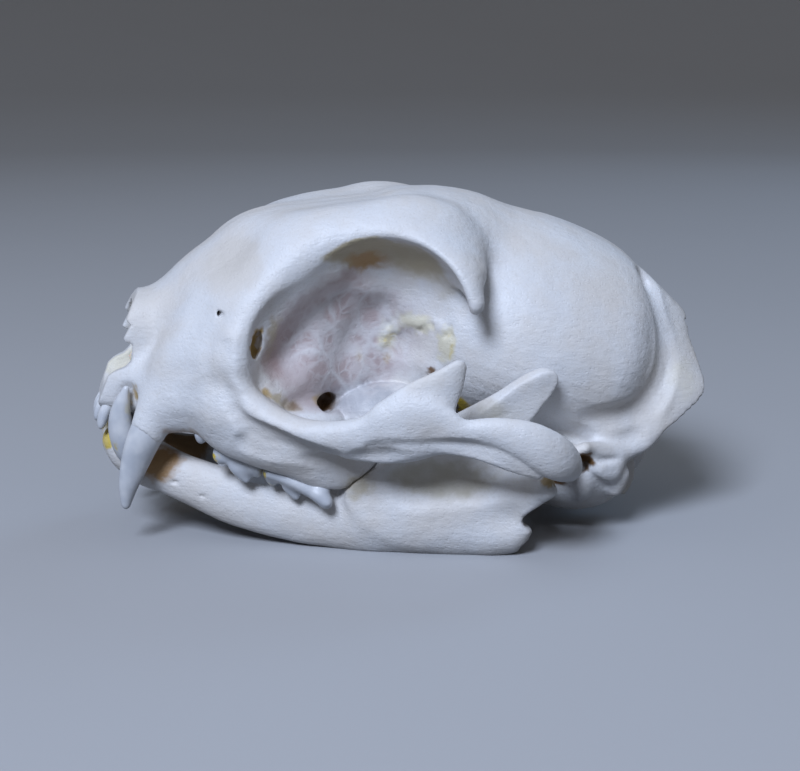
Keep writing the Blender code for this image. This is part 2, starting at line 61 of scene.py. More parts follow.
MM = 0.001
PITCH = math.radians(10.9)           # nose up, as the skull leans back on its jaw
REST = -18.9                         # level of the floor under the pitched skull
MIDDLE = 45.6                        # halfway along the pitched skull
BAND = 6.0                           # how far distances are kept, as wide as the widest fillet
PIECE_TRIANGLES = 190000
JAW_GAP = 0.25                       # air between the upper skull and the jaw
SMALL = {"around": 24, "along": 24}  # facets enough for a small tooth
SKULL_BOX = ((0, -5, -12), (40, 96, 48))
JAW_BOX = ((0, -2, -24), (40, 72, 28))
CHEEK_BOX = ((6, 12, -10), (24, 42, 6))
NOSE_BOX = ((0, 0, 0), (9, 26, 22))

GLOW_DEPTH = 1.5                     # how deep the look for thin bone goes
THICK, SHEER = -0.9, 0.3             # what it finds there in thick bone and behind sheer bone
PIT_REACH, HOLLOW_REACH = 1.6, 5.0   # how far round a point its pits and hollows are felt
NET_CENTRE, NET_REACH = (8.5, 33.0, 18.0), (6.5, 11.5, 10.5)
FADE_END, NET_EDGE = 1.2, 0.5        # where stains, painted shade and the net end, and the net's edge, by their size
STAIN_AND_SHADE_WANDER = 0.8                   # how far the edge of each patch of stains and painted shade strays

# The size and the seed of each side's surface wander.
WANDER = {"middle": (5.0, 1.0), "left": (4.0, 3.0), "right": (4.0, 7.0)}

# The studio, in metres.
FLOOR_BOUNCE = 0.24                  # share of its colour that the floor throws back up
FLOOR_CLOUD = 0.97                   # share of its colour in the floor's faint clouds
FLOOR_PROFILE = ((0, 0), (0.9, 0), (1.3, 0.03), (1.7, 0.14), (2.05, 0.36), (2.3, 0.7), (2.45, 1.1))
ROOM_LIGHT, ROOM_SEEN = (0.15, 0.144, 0.138, 1), (0.36, 0.38, 0.42, 1)
# Each softbox's name, place, width, power and colour.
LIGHTS = (("key", (0.60, -0.37, 0.66), 0.3, 9.2, (0.68, 0.77, 0.96)),
          ("back", (-0.42, 0.58, 0.62), 0.4, 1.1, (0.5, 0.7, 1.0)))

# Each incisor's side and depth at the gum, the heights of its root and edge, and its half width.
UPPER_INCISORS = ((1, 0.9, 2.6, -1.2, 0.6), (2.7, 1.1, 2.6, -1.6, 0.7), (4.7, 1.8, 2.4, -2.3, 0.85))
LOWER_INCISORS = ((0.8, 3.6, -4, -0.6, 0.45), (2, 3.9, -4, -0.4, 0.55), (3.3, 4.4, -4, -0.1, 0.6))

# Each patch's colour, place, half sizes, strength and width of its edge, and the way that the bone
# under it faces where only one side of the bone is stained. The umber patches are painted shade in
# holes and gaps, the brown ones painted shade inside the mouth and the painted shadow of the upper
# canine, the grey shade ones painted shade under the cheek arch and the coronoid, and the amber one
# by the jaw joint painted shade; the rest are stains and tones of the bone.
BONE_PATCHES = (
    ("rose", (10, 30.5, 17), (8, 12.5, 12), 1, 0.7),
    ("rust", (9.8, 31.2, 19.9), (3.4, 3.6, 1.4), 0.85, 0.6),
    ("rust", (10.6, 28.6, 18.2), (3.4, 2.4, 1.5), 0.75, 0.6),
    ("rust", (11.6, 31, 27), (3.4, 5, 2.4), 0.5, 0.8),
    ("rust", (7.9, 34.3, 16.2), (2.4, 1.8, 0.9), 0.6, 0.6),
    ("rust", (14, 23.6, 14), (3.4, 2.4, 5), 0.5, 0.8),
    ("rose", (8, 39.5, 14.5), (4, 6, 3.4), 0.6, 0.9),
    ("rose", (10.5, 40, 20), (6, 11, 9), 0.35, 1),
    ("umber", (8.2, 32.5, 24.2), (2.5, 0.9, 0.6), 0.6, 0.8),
    ("tan", (15.4, 31.5, 31.4), (5, 7, 3.6), 0.95, 0.6, (0, 0, -1)),
    ("tan", (15.4, 41, 31), (5, 7, 4), 0.8, 0.8, (0, 0, -1)),
    ("orange", (12.8, 34, 29.6), (3, 4.2, 1.8), 0.95, 0.8),
    ("tan", (16, 47.5, 26.8), (3, 3, 3.4), 0.4, 0.7, (0, 0, -1)),
    ("cream", (8.6, 40.6, 18.8), (2.4, 1.6, 2.8), 1, 0.7),
    ("cream", (11.6, 43.8, 21.6), (3.8, 3.6, 1.5), 1, 0.7),
    ("cream", (15.6, 47.8, 19.8), (2.4, 1.8, 3), 1, 0.7),
    ("gold", (8.7, 40.6, 18.4), (1.6, 0.5, 1), 0.5, 0.6),
    ("gold", (15.6, 48.2, 19.4), (1.6, 0.5, 1.6), 0.4, 0.6),
    ("amber", (8.5, 41.3, 15.3), (1.8, 0.9, 0.9), 0.5, 0.8),
    ("amber", (8.2, 36.9, 14.8), (1.8, 0.9, 1.2), 0.5, 0.8),
    ("umber", (12.9, 47.2, 15), (1.8, 0.9, 0.9), 0.8, 0.6),
    ("amber", (16, 20.2, 15.4), (2, 1, 3), 1, 0.5),
    ("tan", (14, 22.6, 18), (2.4, 1.2, 5), 0.7, 0.9),
    ("amber", (16.2, 22.8, 8.8), (1.8, 1.5, 1.2), 0.7, 0.8),
    ("tan", (15.3, 24.6, 7.9), (2, 2.2, 1.3), 0.9, 0.8),
    ("tan", (14.4, 26.8, 7.2), (2, 2.2, 1.2), 0.8, 0.8),
    ("rose", (13, 28, 8), (4, 5, 3), 0.5, 0.9),
    ("umber", (13.6, 27.4, 7.2), (2.4, 0.9, 0.9), 0.6, 0.7),
    ("umber", (7.6, 33.4, 7.4), (3, 2.2, 1.9), 1, 0.4),
    ("amber", (11.4, 31.7, 7.6), (2, 1.1, 1.3), 0.8, 0.7),
    ("warm", (10, 16.4, 25), (9, 6, 6), 1, 0.8),
    ("thin", (10, 16.4, 25.6), (8, 5.4, 5), 0.45, 1),
    ("cream", (4.4, 3.4, 6.5), (2, 3, 4), 0.7, 0.6, (-1, 0, 0)),
    ("amber", (8.7, 5.3, 3.6), (2, 1.1, 2.8), 0.8, 0.7),
    ("gold", (4.2, 2.8, -3.4), (3, 1.2, 2.2), 0.8, 0.6),
    ("gold", (11, 52.4, 10.4), (4.6, 1.5, 2), 1, 0.4),
    ("umber", (11, 53, 8.4), (4.6, 1.2, 0.9), 0.8, 0.5),
    ("dull", (10.4, 41, 8.6), (4.6, 9, 3.4), 0.8, 0.7),
    # Painted shade, partly dull thin bone: the cheek arch's shadow in the jaw's hollow and the shaded band
    # under the coronoid's front ridge.
    ("shade", (21.5, 50, 1.4), (4, 11, 3.6), 0.6, 0.7),
    ("shade", (23.2, 54, 12.4), (2.6, 4.6, 2.4), 0.5, 1),
    ("tan", (19.6, 38, -1.5), (2.4, 3, 2.6), 0.6, 0.8),
    # Painted shade in the gaps by the ear and under the end of the cheek arch.
    ("umber", (21, 69.6, 6.6), (5, 1.9, 1.9), 1, 0.5),
    ("umber", (20, 67, 3.4), (6, 2.4, 1.8), 1, 0.5),
    # Painted shade in the gap by the jaw joint.
    ("amber", (27, 63, 4.8), (3.4, 1.8, 1), 0.7, 0.6),
    # Painted shade on the inner face of the far jaw and under the palate, and the painted shadow of the upper
    # canine on the jaw.
    ("brown", (4.6, 15, -4.6), (3.5, 6, 3.4), 1, 0.5, (-1, 0, 0)),
    ("brown", (10, 16, 0.5), (5, 7, 2), 0.45, 0.5, (0, 0, -1)),
    ("brown", (7.3, 10.4, -5.2), (2.8, 4.4, 3.4), 1, 0.8),
    ("cream", (16.5, 84, 21), (3, 3.6, 5), 0.35, 0.8),
)
TOOTH_PATCHES = (
    ("gold", (13.7, 18.2, -1.9), (1.2, 0.6, 0.9), 0.9, 0.6),
    ("gold", (15.8, 24.9, -2.8), (1.4, 0.6, 1.5), 0.9, 0.5),
    ("cream", (16.2, 26.2, -4.2), (1.4, 1.4, 0.9), 0.7, 0.6),
    ("cream", (14.2, 19.6, -3.4), (1.6, 1.6, 1.6), 0.6, 0.8),
    ("cream", (8, 5.4, 3), (1.6, 0.7, 3.2), 0.6, 0.7),
    ("gold", (5, 4.4, -3.6), (4, 0.8, 2), 0.7, 0.6),
)


# ---------------------------------------------------------------- forms

def smooth_curve(points, steps):
    """Rows along a curve through the points, as dense as steps says for each gap."""
    rows = np.array(points, dtype=float)
    ends = np.vstack([2 * rows[0] - rows[1], rows, 2 * rows[-1] - rows[-2]])
    u = np.linspace(0, len(rows) - 1, (len(rows) - 1) * steps + 1)
    i = np.minimum(u.astype(int), len(rows) - 2)
    f = (u - i)[:, None]
    a, b, c, d = ends[i], ends[i + 1], ends[i + 2], ends[i + 3]
    return 0.5 * (2 * b + (c - a) * f + (2 * a - 5 * b + 4 * c - d) * f ** 2
                  + (3 * b - a - 3 * c + d) * f ** 3)


def trace(stations, steps):
    """Rows along a smooth curve through the stations, dense at both ends."""
    dense = smooth_curve(stations, steps=24)
    run = np.cumsum(np.r_[0, np.linalg.norm(np.diff(dense[:, :3], axis=0), axis=1)])
    at = run[-1] * (1 - np.cos(np.pi * np.arange(steps + 1) / steps)) / 2
    return at, np.stack([np.interp(at, run, column) for column in dense.T], axis=1)


def limb(stations, side=(1, 0, 0), around=24, along=32, power=2.0, taper=0.0):
    """A closed limb along stations of x, y, z, half width along side and half depth."""
    at, rows = trace([list(s) + [s[-1]] * (5 - len(s)) for s in stations], along)
    places, widths, depths = rows[:, :3], rows[:, 3], rows[:, 4]
    tangents = np.gradient(places, axis=0) + 1e-9
    tangents /= np.linalg.norm(tangents, axis=1)[:, None]
    side = np.array(side, dtype=float)
    across = side - tangents * (tangents @ side)[:, None]
    across /= np.linalg.norm(across, axis=1)[:, None]
    deep = np.cross(across, tangents)
    first, last = (widths[0] + depths[0]) / 2, (widths[-1] + depths[-1]) / 2
    head = 1 - np.clip(at / first, 0, 1)
    tail = 1 - np.clip((at[-1] - at) / last, 0, 1)
    rim = np.sqrt(np.clip(1 - head ** 2, 0, 1) * np.clip(1 - tail ** 2, 0, 1))

    shape = bmesh.new()
    bmesh.ops.create_uvsphere(shape, u_segments=around, v_segments=along, radius=1)
    for vertex in shape.verts:
        ring = round(math.acos(max(-1.0, min(1.0, vertex.co.z))) / math.pi * along)
        turn = math.atan2(vertex.co.y, vertex.co.x)
        wide, high = (math.copysign(abs(v) ** (2 / power), v) for v in (math.cos(turn), math.sin(turn)))
        wide *= 1 - taper * high
        out = widths[ring] * wide * across[ring] + depths[ring] * high * deep[ring]
        vertex.co = Vector(places[ring] + rim[ring] * out)
    return shape


def ball(centre, radii, turn=(0, 0, 0)):
    """An ellipsoid, turned by degrees about X, Y and Z."""
    place = Matrix.Translation(centre)
    for axis, degrees in zip("ZYX", reversed(turn)):
        place = place @ Matrix.Rotation(math.radians(degrees), 4, axis)
    place = place @ Matrix.Diagonal((*radii, 1))
    shape = bmesh.new()
    bmesh.ops.create_icosphere(shape, subdivisions=4, radius=1, matrix=place)
    return shape


def sheet(outline, thick, place=None):
    """A plate with an outline of y, z points, bent sideways by place(y, z) -> x."""
    longest, rounds = 1.5, 4 if place else 0
    shape = bmesh.new()
    face = shape.faces.new([shape.verts.new((-thick / 2, y, z)) for y, z in outline])
    wall = bmesh.ops.extrude_face_region(shape, geom=[face])
    moved = [v for v in wall["geom"] if isinstance(v, bmesh.types.BMVert)]
    bmesh.ops.translate(shape, vec=(thick, 0, 0), verts=moved)
    bmesh.ops.triangulate(shape, faces=shape.faces)
    for _ in range(rounds):
        long_edges = [e for e in shape.edges if e.calc_length() > longest]
        bmesh.ops.subdivide_edges(shape, edges=long_edges, cuts=1)
        bmesh.ops.triangulate(shape, faces=shape.faces)
    for vertex in shape.verts:
        vertex.co.x += place(vertex.co.y, vertex.co.z) if place else 0
    bmesh.ops.recalc_face_normals(shape, faces=shape.faces)
    return shape


def rounded(outline):
    """The smooth closed curve through the points of an outline."""
    steps = 4
    points = np.array(outline, dtype=float)
    around = np.vstack([points[-1], points, points[:2]])
    curve = smooth_curve(around, steps)
    return curve[steps:steps * (len(points) + 1)]


# ---------------------------------------------------------------- clay

def to_left(points):
    """Points of both sides, mirrored to the left one."""
    return np.abs(points * (1, 0, 0)) + points * (0, 1, 1)


def main_piece(points, faces):
    """The largest piece of a skin, without crumbs and bubbles."""
    owner = list(range(len(points)))

    def top(i):
        while owner[i] != i:
            owner[i] = owner[owner[i]]
            i = owner[i]
        return i

    for face in faces:
        first = top(face[0])
        for corner in face[1:]:
            owner[top(corner)] = first
    tops = np.array([top(i) for i in range(len(points))])
    names, counts = np.unique(tops, return_counts=True)
    kept = tops == names[counts.argmax()]
    number = np.cumsum(kept) - 1
    return points[kept], [[int(number[i]) for i in f] for f in faces if kept[f[0]]]


class Clay:
    """A lump that forms are joined to and cut from, on one side of the skull."""

    def __init__(self, box, voxel):
        self.voxel = voxel
        self.low = np.floor(np.array(box[0]) / voxel).astype(int)
        self.low[0] = 0
        size = np.ceil(np.array(box[1]) / voxel).astype(int) - self.low + 1
        self.cells = np.full(size, BAND, dtype=np.float32)
        self.frame = openvdb.createLinearTransform(voxelSize=voxel)

    def field(self, form, swell=0.0):
        """The slices and distances of a form inside this lump's cells."""
        bmesh.ops.triangulate(form, faces=form.faces)
        form.verts.index_update()
        points = np.array([v.co for v in form.verts], dtype=np.float32)
        faces = np.array([[v.index for v in f.verts] for f in form.faces], dtype=np.int32)
        form.free()
        grid = openvdb.FloatGrid.createLevelSetFromPolygons(
            points, triangles=faces, transform=self.frame, halfWidth=BAND / self.voxel)
        low, high = (np.array(corner) for corner in grid.evalActiveVoxelBoundingBox())
        start = np.maximum(low, self.low)
        stop = np.minimum(high + 1, self.low + self.cells.shape)
        distances = np.zeros(tuple(stop - start), dtype=np.float32)
        grid.copyToArray(distances, ijk=tuple(int(v) for v in start))
        window = tuple(slice(a, b) for a, b in zip(start - self.low, stop - self.low))
        return window, distances - swell

    def add(self, form, blend, swell=0.0):
        """Joins a form, with a fillet as wide as blend."""
        window, b = self.field(form, swell)
        a = self.cells[window]
        near = np.maximum(blend - np.abs(a - b), 0) / blend
        near[(a >= BAND) | (b >= BAND)] = 0
        self.cells[window] = np.minimum(a, b) - near ** 2 * blend / 4

    def cut(self, form, blend):
        """Cuts a form away, with an edge as round as blend."""
        window, b = self.field(form)
        a = self.cells[window]
        near = np.maximum(blend - np.abs(a + b), 0) / blend
        near[(a <= -BAND) | (-b <= -BAND)] = 0
        self.cells[window] = np.maximum(a, -b) + near ** 2 * blend / 4

    def grow(self, stations, blend, **shape):
        """Joins a limb along stations."""
        self.add(limb(stations, **shape), blend)

    def carve(self, stations, blend, **shape):
        """Cuts a limb along stations away."""
        self.cut(limb(stations, **shape), blend)

    def near_path(self, points, radius):
        """A window round a path and how close its cells are, 1 on it and 0 at the radius."""
        points = np.atleast_2d(np.array(points, dtype=float))
        low = np.floor((points.min(0) - radius) / self.voxel).astype(int)
        high = np.ceil((points.max(0) + radius) / self.voxel).astype(int) + 1
        start = np.maximum(low, self.low)
        stop = np.maximum(np.minimum(high, self.low + self.cells.shape), start)
        x, y, z = (self.voxel * np.arange(a, b) for a, b in zip(start, stop))
        away = np.full((len(x), len(y), len(z)), np.inf)
        ends = points[1:] if len(points) > 1 else points
        for a, b in zip(points, ends):
            step = b - a
            dx, dy, dz = x[:, None, None] - a[0], y[:, None] - a[1], z - a[2]
            f = np.clip((dx * step[0] + dy * step[1] + dz * step[2]) / max(step @ step, 1e-9), 0, 1)
            away = np.minimum(away, (dx - f * step[0]) ** 2 + (dy - f * step[1]) ** 2
                              + (dz - f * step[2]) ** 2)
        window = tuple(slice(a, b) for a, b in zip(start - self.low, stop - self.low))
        return window, np.clip(1 - away / radius ** 2, 0, 1) ** 2

    def swell(self, points, radius, height):
        """Raises the surface near a smooth path, or lowers it by a negative height."""
        path = smooth_curve(points, steps=6) if len(points) > 2 else points
        window, near = self.near_path(path, radius)
        self.cells[window] -= (height * near).astype(np.float32)

    def keep_off(self, other, gap):
        """Cuts another lump away, with a gap round it."""
        start = np.maximum(self.low, other.low)
        stop = np.minimum(self.low + self.cells.shape, other.low + other.cells.shape)
        mine = tuple(slice(a, b) for a, b in zip(start - self.low, stop - self.low))
        theirs = tuple(slice(a, b) for a, b in zip(start - other.low, stop - other.low))
        self.cells[mine] = np.maximum(self.cells[mine], gap - other.cells[theirs])

    def face_off(self, x):
        """Cuts the lump flat beside the middle plane."""
        depth = x - self.voxel * np.arange(self.low[0], self.low[0] + self.cells.shape[0])
        self.cells = np.maximum(self.cells, depth[:, None, None].astype(np.float32))

    def skin(self, mirrored=True):
        """Points and faces of the lump's surface, mirrored to both sides or not."""
        cells, low = self.cells, self.low.copy()
        if mirrored:
            cells = np.concatenate([cells[:0:-1], cells])
            low[0] = -(self.cells.shape[0] - 1)
        grid = openvdb.FloatGrid(BAND)
        grid.copyFromArray(np.clip(cells, -BAND, BAND), ijk=tuple(int(v) for v in low))
        grid.transform = self.frame
        points, triangles, quads = grid.convertToPolygons(isovalue=0.0, adaptivity=0.0)
        return main_piece(points, triangles.tolist() + quads.tolist())

    def fullness(self, reach):
        """Share of bone in a soft box of that reach round each cell."""
        solid = np.clip(0.5 - self.cells / self.voxel, 0, 1)
        half = max(1, int(reach / self.voxel / 2))
        for axis in range(3):
            for _ in range(2):
                pad = [(0, 0)] * 3
                pad[axis] = (half + 1, half)
                total = np.cumsum(np.pad(solid, pad, mode="edge" if axis else "reflect"), axis=axis)
                ahead = np.take(total, range(2 * half + 1, total.shape[axis]), axis=axis)
                behind = np.take(total, range(total.shape[axis] - 2 * half - 1), axis=axis)
                solid = (ahead - behind) / (2 * half + 1)
        return solid

    def read(self, cells, points):
        """Values of a grid at points, with the right side read as the left."""
        place = to_left(points) / self.voxel - self.low
        base = np.clip(np.floor(place).astype(int), 0, np.array(cells.shape) - 2)
        f = np.clip(place - base, 0, 1)
        found = 0
        for corner in range(8):
            step = np.array([corner >> 2 & 1, corner >> 1 & 1, corner & 1])
            share = np.prod(np.where(step, f, 1 - f), axis=1)
            found = found + share * cells[tuple((base + step).T)]
        return found


# ---------------------------------------------------------------- cranium

def brain_case(clay):
    """The egg of the brain case, with the temple narrowing in front."""
    clay.grow([(0, 38, 25, 13, 12), (0, 44, 25.4, 14.6, 14.2), (0, 50, 24.6, 17.6, 15.8),
               (0, 57, 23.6, 20.6, 16.4), (0, 64, 22.6, 21.6, 16.6), (0, 71, 21.4, 21.6, 16),
               (0, 78.5, 20, 20.3, 14), (0, 84.5, 19.4, 15.6, 10)], 3, around=48, along=48, taper=0.14)


def forehead(clay):
    """The domed frontal and the brow edge that ends in the postorbital hook."""
    clay.grow([(0, 16, 24.6, 5.6, 4.6), (0, 19, 26.6, 7, 4.9), (0, 24, 28.4, 9.8, 5.6),
               (0, 29, 29.5, 12.4, 6.1), (0, 35, 30.6, 14.4, 6.8), (0, 38, 31, 15, 7.4),
               (0, 41, 31.3, 15.5, 8.5), (0, 44.5, 31.2, 15.4, 9.3), (0, 48, 31, 15, 9.8),
               (0, 56, 29, 13, 10.8)], 4.5, around=48, along=48, power=2.7)
    clay.grow([(9.2, 21, 26.8, 3.2), (10.2, 24.6, 30, 3.1), (10.8, 28, 31.6, 3), (11.2, 31, 32.7, 3),
               (11.8, 34.4, 33.8, 3.1), (12.6, 38, 35.2, 3.3), (13.2, 42, 35.6, 3.2), (14, 46, 34.4, 3)],
              5)
    clay.grow([(17.6, 18.2, 11.5, 1.7), (16.8, 18.2, 16, 1.8), (15.5, 20.2, 21.4, 2),
               (14.6, 23.8, 26.4, 2.1), (14.2, 29, 31, 2.1), (15.5, 35, 33.1, 2.1),
               (17.8, 40.2, 32.9, 2.3), (20.4, 44.2, 31, 2.2), (22.8, 47.2, 28.4, 1.8),
               (24.2, 49, 25.8, 1.4)], 5, side=(0.2, -1, 0.2), along=60)
    clay.grow([(14.6, 16.4, 10.6, 2.9), (13.2, 16.4, 15.5, 3), (12.4, 17.8, 20, 3.3),
               (11.6, 21.2, 24.6, 3.2), (11.4, 25.6, 28.4, 2.9), (11.6, 31, 30.8, 2.6)], 4)
    clay.grow([(13, 44, 34.2, 6, 3), (17.5, 46, 32, 4.4, 2.4), (22, 48, 29.3, 2.2, 1.4)], 4,
              side=(0, 1, 0))
    clay.swell([(0, 10, 24), (0, 18, 31.4), (0, 26, 34.8), (0, 34, 37.4), (0, 40, 39.6)], 2, -0.15)


def snout(clay):
    """Nasals, maxillae and premaxillae, with the swelling over the canine root."""
    clay.grow([(0, -5, 3, 4.6, 2.6), (0, 1.2, 3.2, 5, 2.6), (0, 6, 5, 8.6, 4.4), (0, 12, 7.5, 11.2, 6.8),
               (0, 19, 10, 15, 9.6), (0, 26, 11.5, 17, 10), (0, 33, 12, 15, 10)], 3, around=48, along=40,
              power=2.6)
    clay.grow([(0, -5, 12, 5.4, 4.6), (0, 1.6, 13.4, 5.8, 4.6), (0, 6.5, 14.4, 6.6, 4.5),
               (0, 10, 15.8, 8.2, 5.4), (0, 14, 18, 10.5, 7.2), (0, 19, 20.8, 13.4, 8.8),
               (0, 25, 22.8, 14.5, 10.4), (0, 33, 25, 13.5, 10.8)], 3, around=48, along=40, power=2.2,
              taper=0.12)
    clay.grow([(4.6, 3.2, 1.4, 2.2, 0.9), (4.9, 3.3, 4.6, 2.4, 0.9), (5.2, 4.6, 8, 2.4, 1),
               (5.2, 5, 13, 2.2, 1), (3.8, 5.6, 16.6, 1.6, 1)], 1.8, side=(0, 1, 0))
    clay.grow([(10.7, 8.2, -2.4, 2.6, 2.05), (10.7, 8.4, 0.6, 2.65, 2.15), (10.1, 9.4, 5.5, 2.7, 2.6),
               (9.6, 11.5, 11.5, 2.5), (8.4, 14.5, 17, 1.6)], 2.5, side=(0, 1, 0))
    clay.grow([(9, 12, 7, 3.6), (9.8, 13.2, 12, 4), (9.2, 14.8, 17, 4), (8, 18, 22, 3.6)], 4)
    clay.grow([(10.4, 10.4, 4.2, 2.6), (11.9, 13.6, 5.4, 2.9), (13.8, 16.4, 6.8, 3)], 3.5)
    clay.grow([(10.6, 11, 2.2, 1.6), (11.2, 13, 2.3, 1.6), (11.8, 15.2, 2.5, 1.7), (13.2, 18.4, 2.4, 1.8),
               (14.4, 21.5, 1.4, 2)], 2)
    clay.grow([(13.5, 16, 4, 2.4, 3), (16.6, 22, 3, 3, 4.2), (18.2, 29, 2, 2.8, 4.2),
               (18.9, 34, 1.2, 1.9, 4.2), (19.2, 37.6, 2.2, 1.3, 3.4), (19.6, 41, 4.4, 1, 2)], 3.5)
    clay.grow([(12.8, 14, 11, 2.8), (13.8, 15.6, 10.6, 2.8), (14.6, 17.2, 8, 2.8), (15, 18.6, 5.6, 2.6)],
              3.5)
    clay.cut(ball((8.2, 4.5, 2.2), (2, 1.8, 3.6), (0, 0, 20)), 1)
    clay.cut(ball((10.6, 7.4, -5.4), (7, 3.6, 6), (14, 0, 0)), 0.2)


def palate(clay):
    """Floor of the snout, the wings beside the throat and the base of the brain case."""
    clay.grow([(0, 3, 2.6, 5, 1.8), (0, 12, 3, 8.5, 2.2), (0, 24, 3, 13.5, 2.6), (0, 34, 2.6, 13.5, 2.2)],
              2, around=40)
    clay.grow([(0, 28, 14, 9, 11), (0, 36, 16, 8.3, 12), (0, 44, 17, 8.8, 12), (0, 52, 17, 10, 10)], 3,
              around=40, power=2.6)
    clay.grow([(0, 40, 8.6, 6, 2.6), (0, 54, 7.6, 6.6, 2.6), (0, 68, 6.6, 7, 2.6), (0, 81, 5, 6.5, 2.4)],
              2.5, around=32)
    clay.grow([(6.6, 33, 5, 4, 1.2), (6.2, 41, 5, 4, 0.9), (6, 48, 4.4, 3, 0.8),
               (6.2, 52.5, 2, 0.9, 0.7)], 2, side=(0, 0, 1))


def eye_sockets(clay):
    """The orbits: a low front hollow that runs into a higher and wider rear one."""
    clay.cut(ball((20, 28.6, 16.8), (9, 9, 9)), 1.2)
    clay.cut(ball((21.5, 37, 22.6), (11, 11.6, 11)), 1.2)
    clay.cut(ball((22, 33, 19.6), (11, 10.5, 10.5)), 1.2)


def cheek(clay):
    """The cheek bone, from the root in front to where the temporal bone lies on it."""
    clay.grow([(16.2, 18.6, 17, 2.4, 1.6), (17, 18.4, 12.5, 2.5, 1.6), (18, 19.8, 8.6, 2.4, 1.8),
               (20.1, 23, 6.6, 2, 2.1), (23, 28, 5.7, 2, 2.1), (25.6, 33.5, 6.1, 2.8, 1.9),
               (27.6, 38.8, 7.6, 4, 1.7), (29.4, 44.2, 10, 4.2, 1.5), (31.2, 50, 9.2, 2.2, 1.4),
               (32.6, 56, 7.6, 1.3, 0.9), (32.7, 60, 6.4, 0.6, 0.5)], 2.5, side=(0.2, -0.5, 1), along=72)
    clay.grow([(14.6, 16, 5.4, 2.6), (16.6, 19, 5.4, 2.4), (18.4, 23, 4.2, 2.4), (20.4, 28, 3.6, 2.2),
               (22, 32, 4, 1.6)], 3)
    clay.grow([(27.6, 38.5, 7, 4.6, 1.6), (28.7, 42.6, 12.4, 4.2, 1.3), (29.3, 45.2, 16.4, 2.6, 1),
               (29.7, 46.8, 20, 0.7, 0.5)], 2, side=(0, 1, -0.5), along=48)
    clay.carve([(27.2, 31.6, 0.6, 2), (28.4, 34.4, 2.7, 2.3), (29.9, 38.2, 4.3, 2.5),
                (31.4, 41.8, 5.2, 2.2), (32.6, 45.5, 7, 2.5), (33.9, 49.6, 8, 2.4),
                (34.8, 52.9, 7.6, 2.2), (35, 55.8, 6.6, 1.9), (34.8, 58.4, 5.2, 1.5)], 0.4, along=48)
    clay.carve([(20.3, 18, 7.4, 0.7), (21.2, 20.2, 5.2, 1.5), (22.3, 22.6, 4.2, 1.9),
                (23.5, 25.2, 3.6, 2), (24.7, 28.2, 3.1, 2), (25.9, 31, 2.7, 2), (27.2, 34, 2.7, 1.9)],
               0.5)
    clay.swell([(20.5, 21.4, 2.6), (21.1, 23.4, 2.2), (22.3, 27.1, 2.3), (22.4, 32, 2.2)], 2.4, -1)
    clay.swell([(18, 16.6, 15), (18.8, 17, 11.5), (19.6, 17.8, 8.6), (20, 18.6, 6.8)], 1.9, -0.35)
    crease = [(28.6, 36.6, 6.2), (29.5, 38.7, 7), (30.1, 42.3, 7.7), (30.5, 44.8, 8.4), (31.3, 47.2, 9),
              (31.9, 49.3, 9.4), (32.8, 51.7, 9.5), (33.8, 55.1, 9.1), (34.2, 57.4, 8.3),
              (34.2, 59.3, 7.3)]
    clay.swell(crease, 1.1, -0.35)


def temporal_bar(clay):
    """The flat bar of the temporal bone that lies on the cheek bone."""
    clay.grow([(30.6, 45.6, 11.2, 0.5, 0.6), (31.6, 49, 11.3, 1.3, 1), (32.6, 53, 11.6, 2.1, 1.3),
               (33.2, 57, 11, 2.8, 1.6), (32.9, 60.6, 9.6, 3.1, 1.9), (31.2, 63.2, 8.4, 2.7, 2.1),
               (27.6, 65.2, 7, 2, 2), (23.5, 66, 6, 2.2, 2.2), (17, 67, 7, 3, 3)], 0.4, side=(0, 0, 1),
              along=72)


def ear(clay):
    """The shelf over the ear, the notch of its opening and the lobe behind it."""
    clay.grow([(22.2, 68.8, 9, 0.7), (20.8, 70.6, 8.8, 0.9), (19.4, 73.4, 8.6, 1), (18.2, 77, 9, 1.2),
               (17.4, 80.2, 12, 0.9)], 2.5, side=(0, 0, 1))
    clay.grow([(20, 70.8, 6.8, 1.8), (19, 73.6, 5.8, 2.2), (18.2, 76.6, 5.8, 2)], 2.5, side=(0, 0, 1))
    clay.add(ball((17.8, 71.2, 3.2), (2.4, 1.7, 3), (10, 0, 0)), 1)
    clay.add(ball((16.6, 73.6, 4.2), (2.4, 3.4, 3)), 1.5)
    clay.carve([(24.4, 68.4, 7.4, 1.1), (22.4, 70.8, 7.2, 0.8), (21, 73.4, 7.4, 0.45),
                (20.6, 75.6, 7.9, 0.3)], 0.4)
    clay.carve([(26, 67.6, 6.8, 1.5), (21.4, 69.6, 6.2, 1.3), (17.6, 70, 5.6, 1)], 0.5)
    clay.carve([(25, 66, 3.4, 1.2), (20, 67.4, 3.6, 1.2), (15, 68, 4.2, 1)], 0.5)
    clay.carve([(21.2, 71.2, 5, 0.4), (20.6, 73, 3.9, 0.6), (19.7, 74.6, 3.2, 0.7), (19, 75.2, 2.6, 0.5)],
               0.3)
    clay.grow([(17.8, 76.6, 6.5, 1.9), (17.5, 76.6, 3.6, 1.7), (17.2, 76.2, 1.3, 1.25)], 0.8)


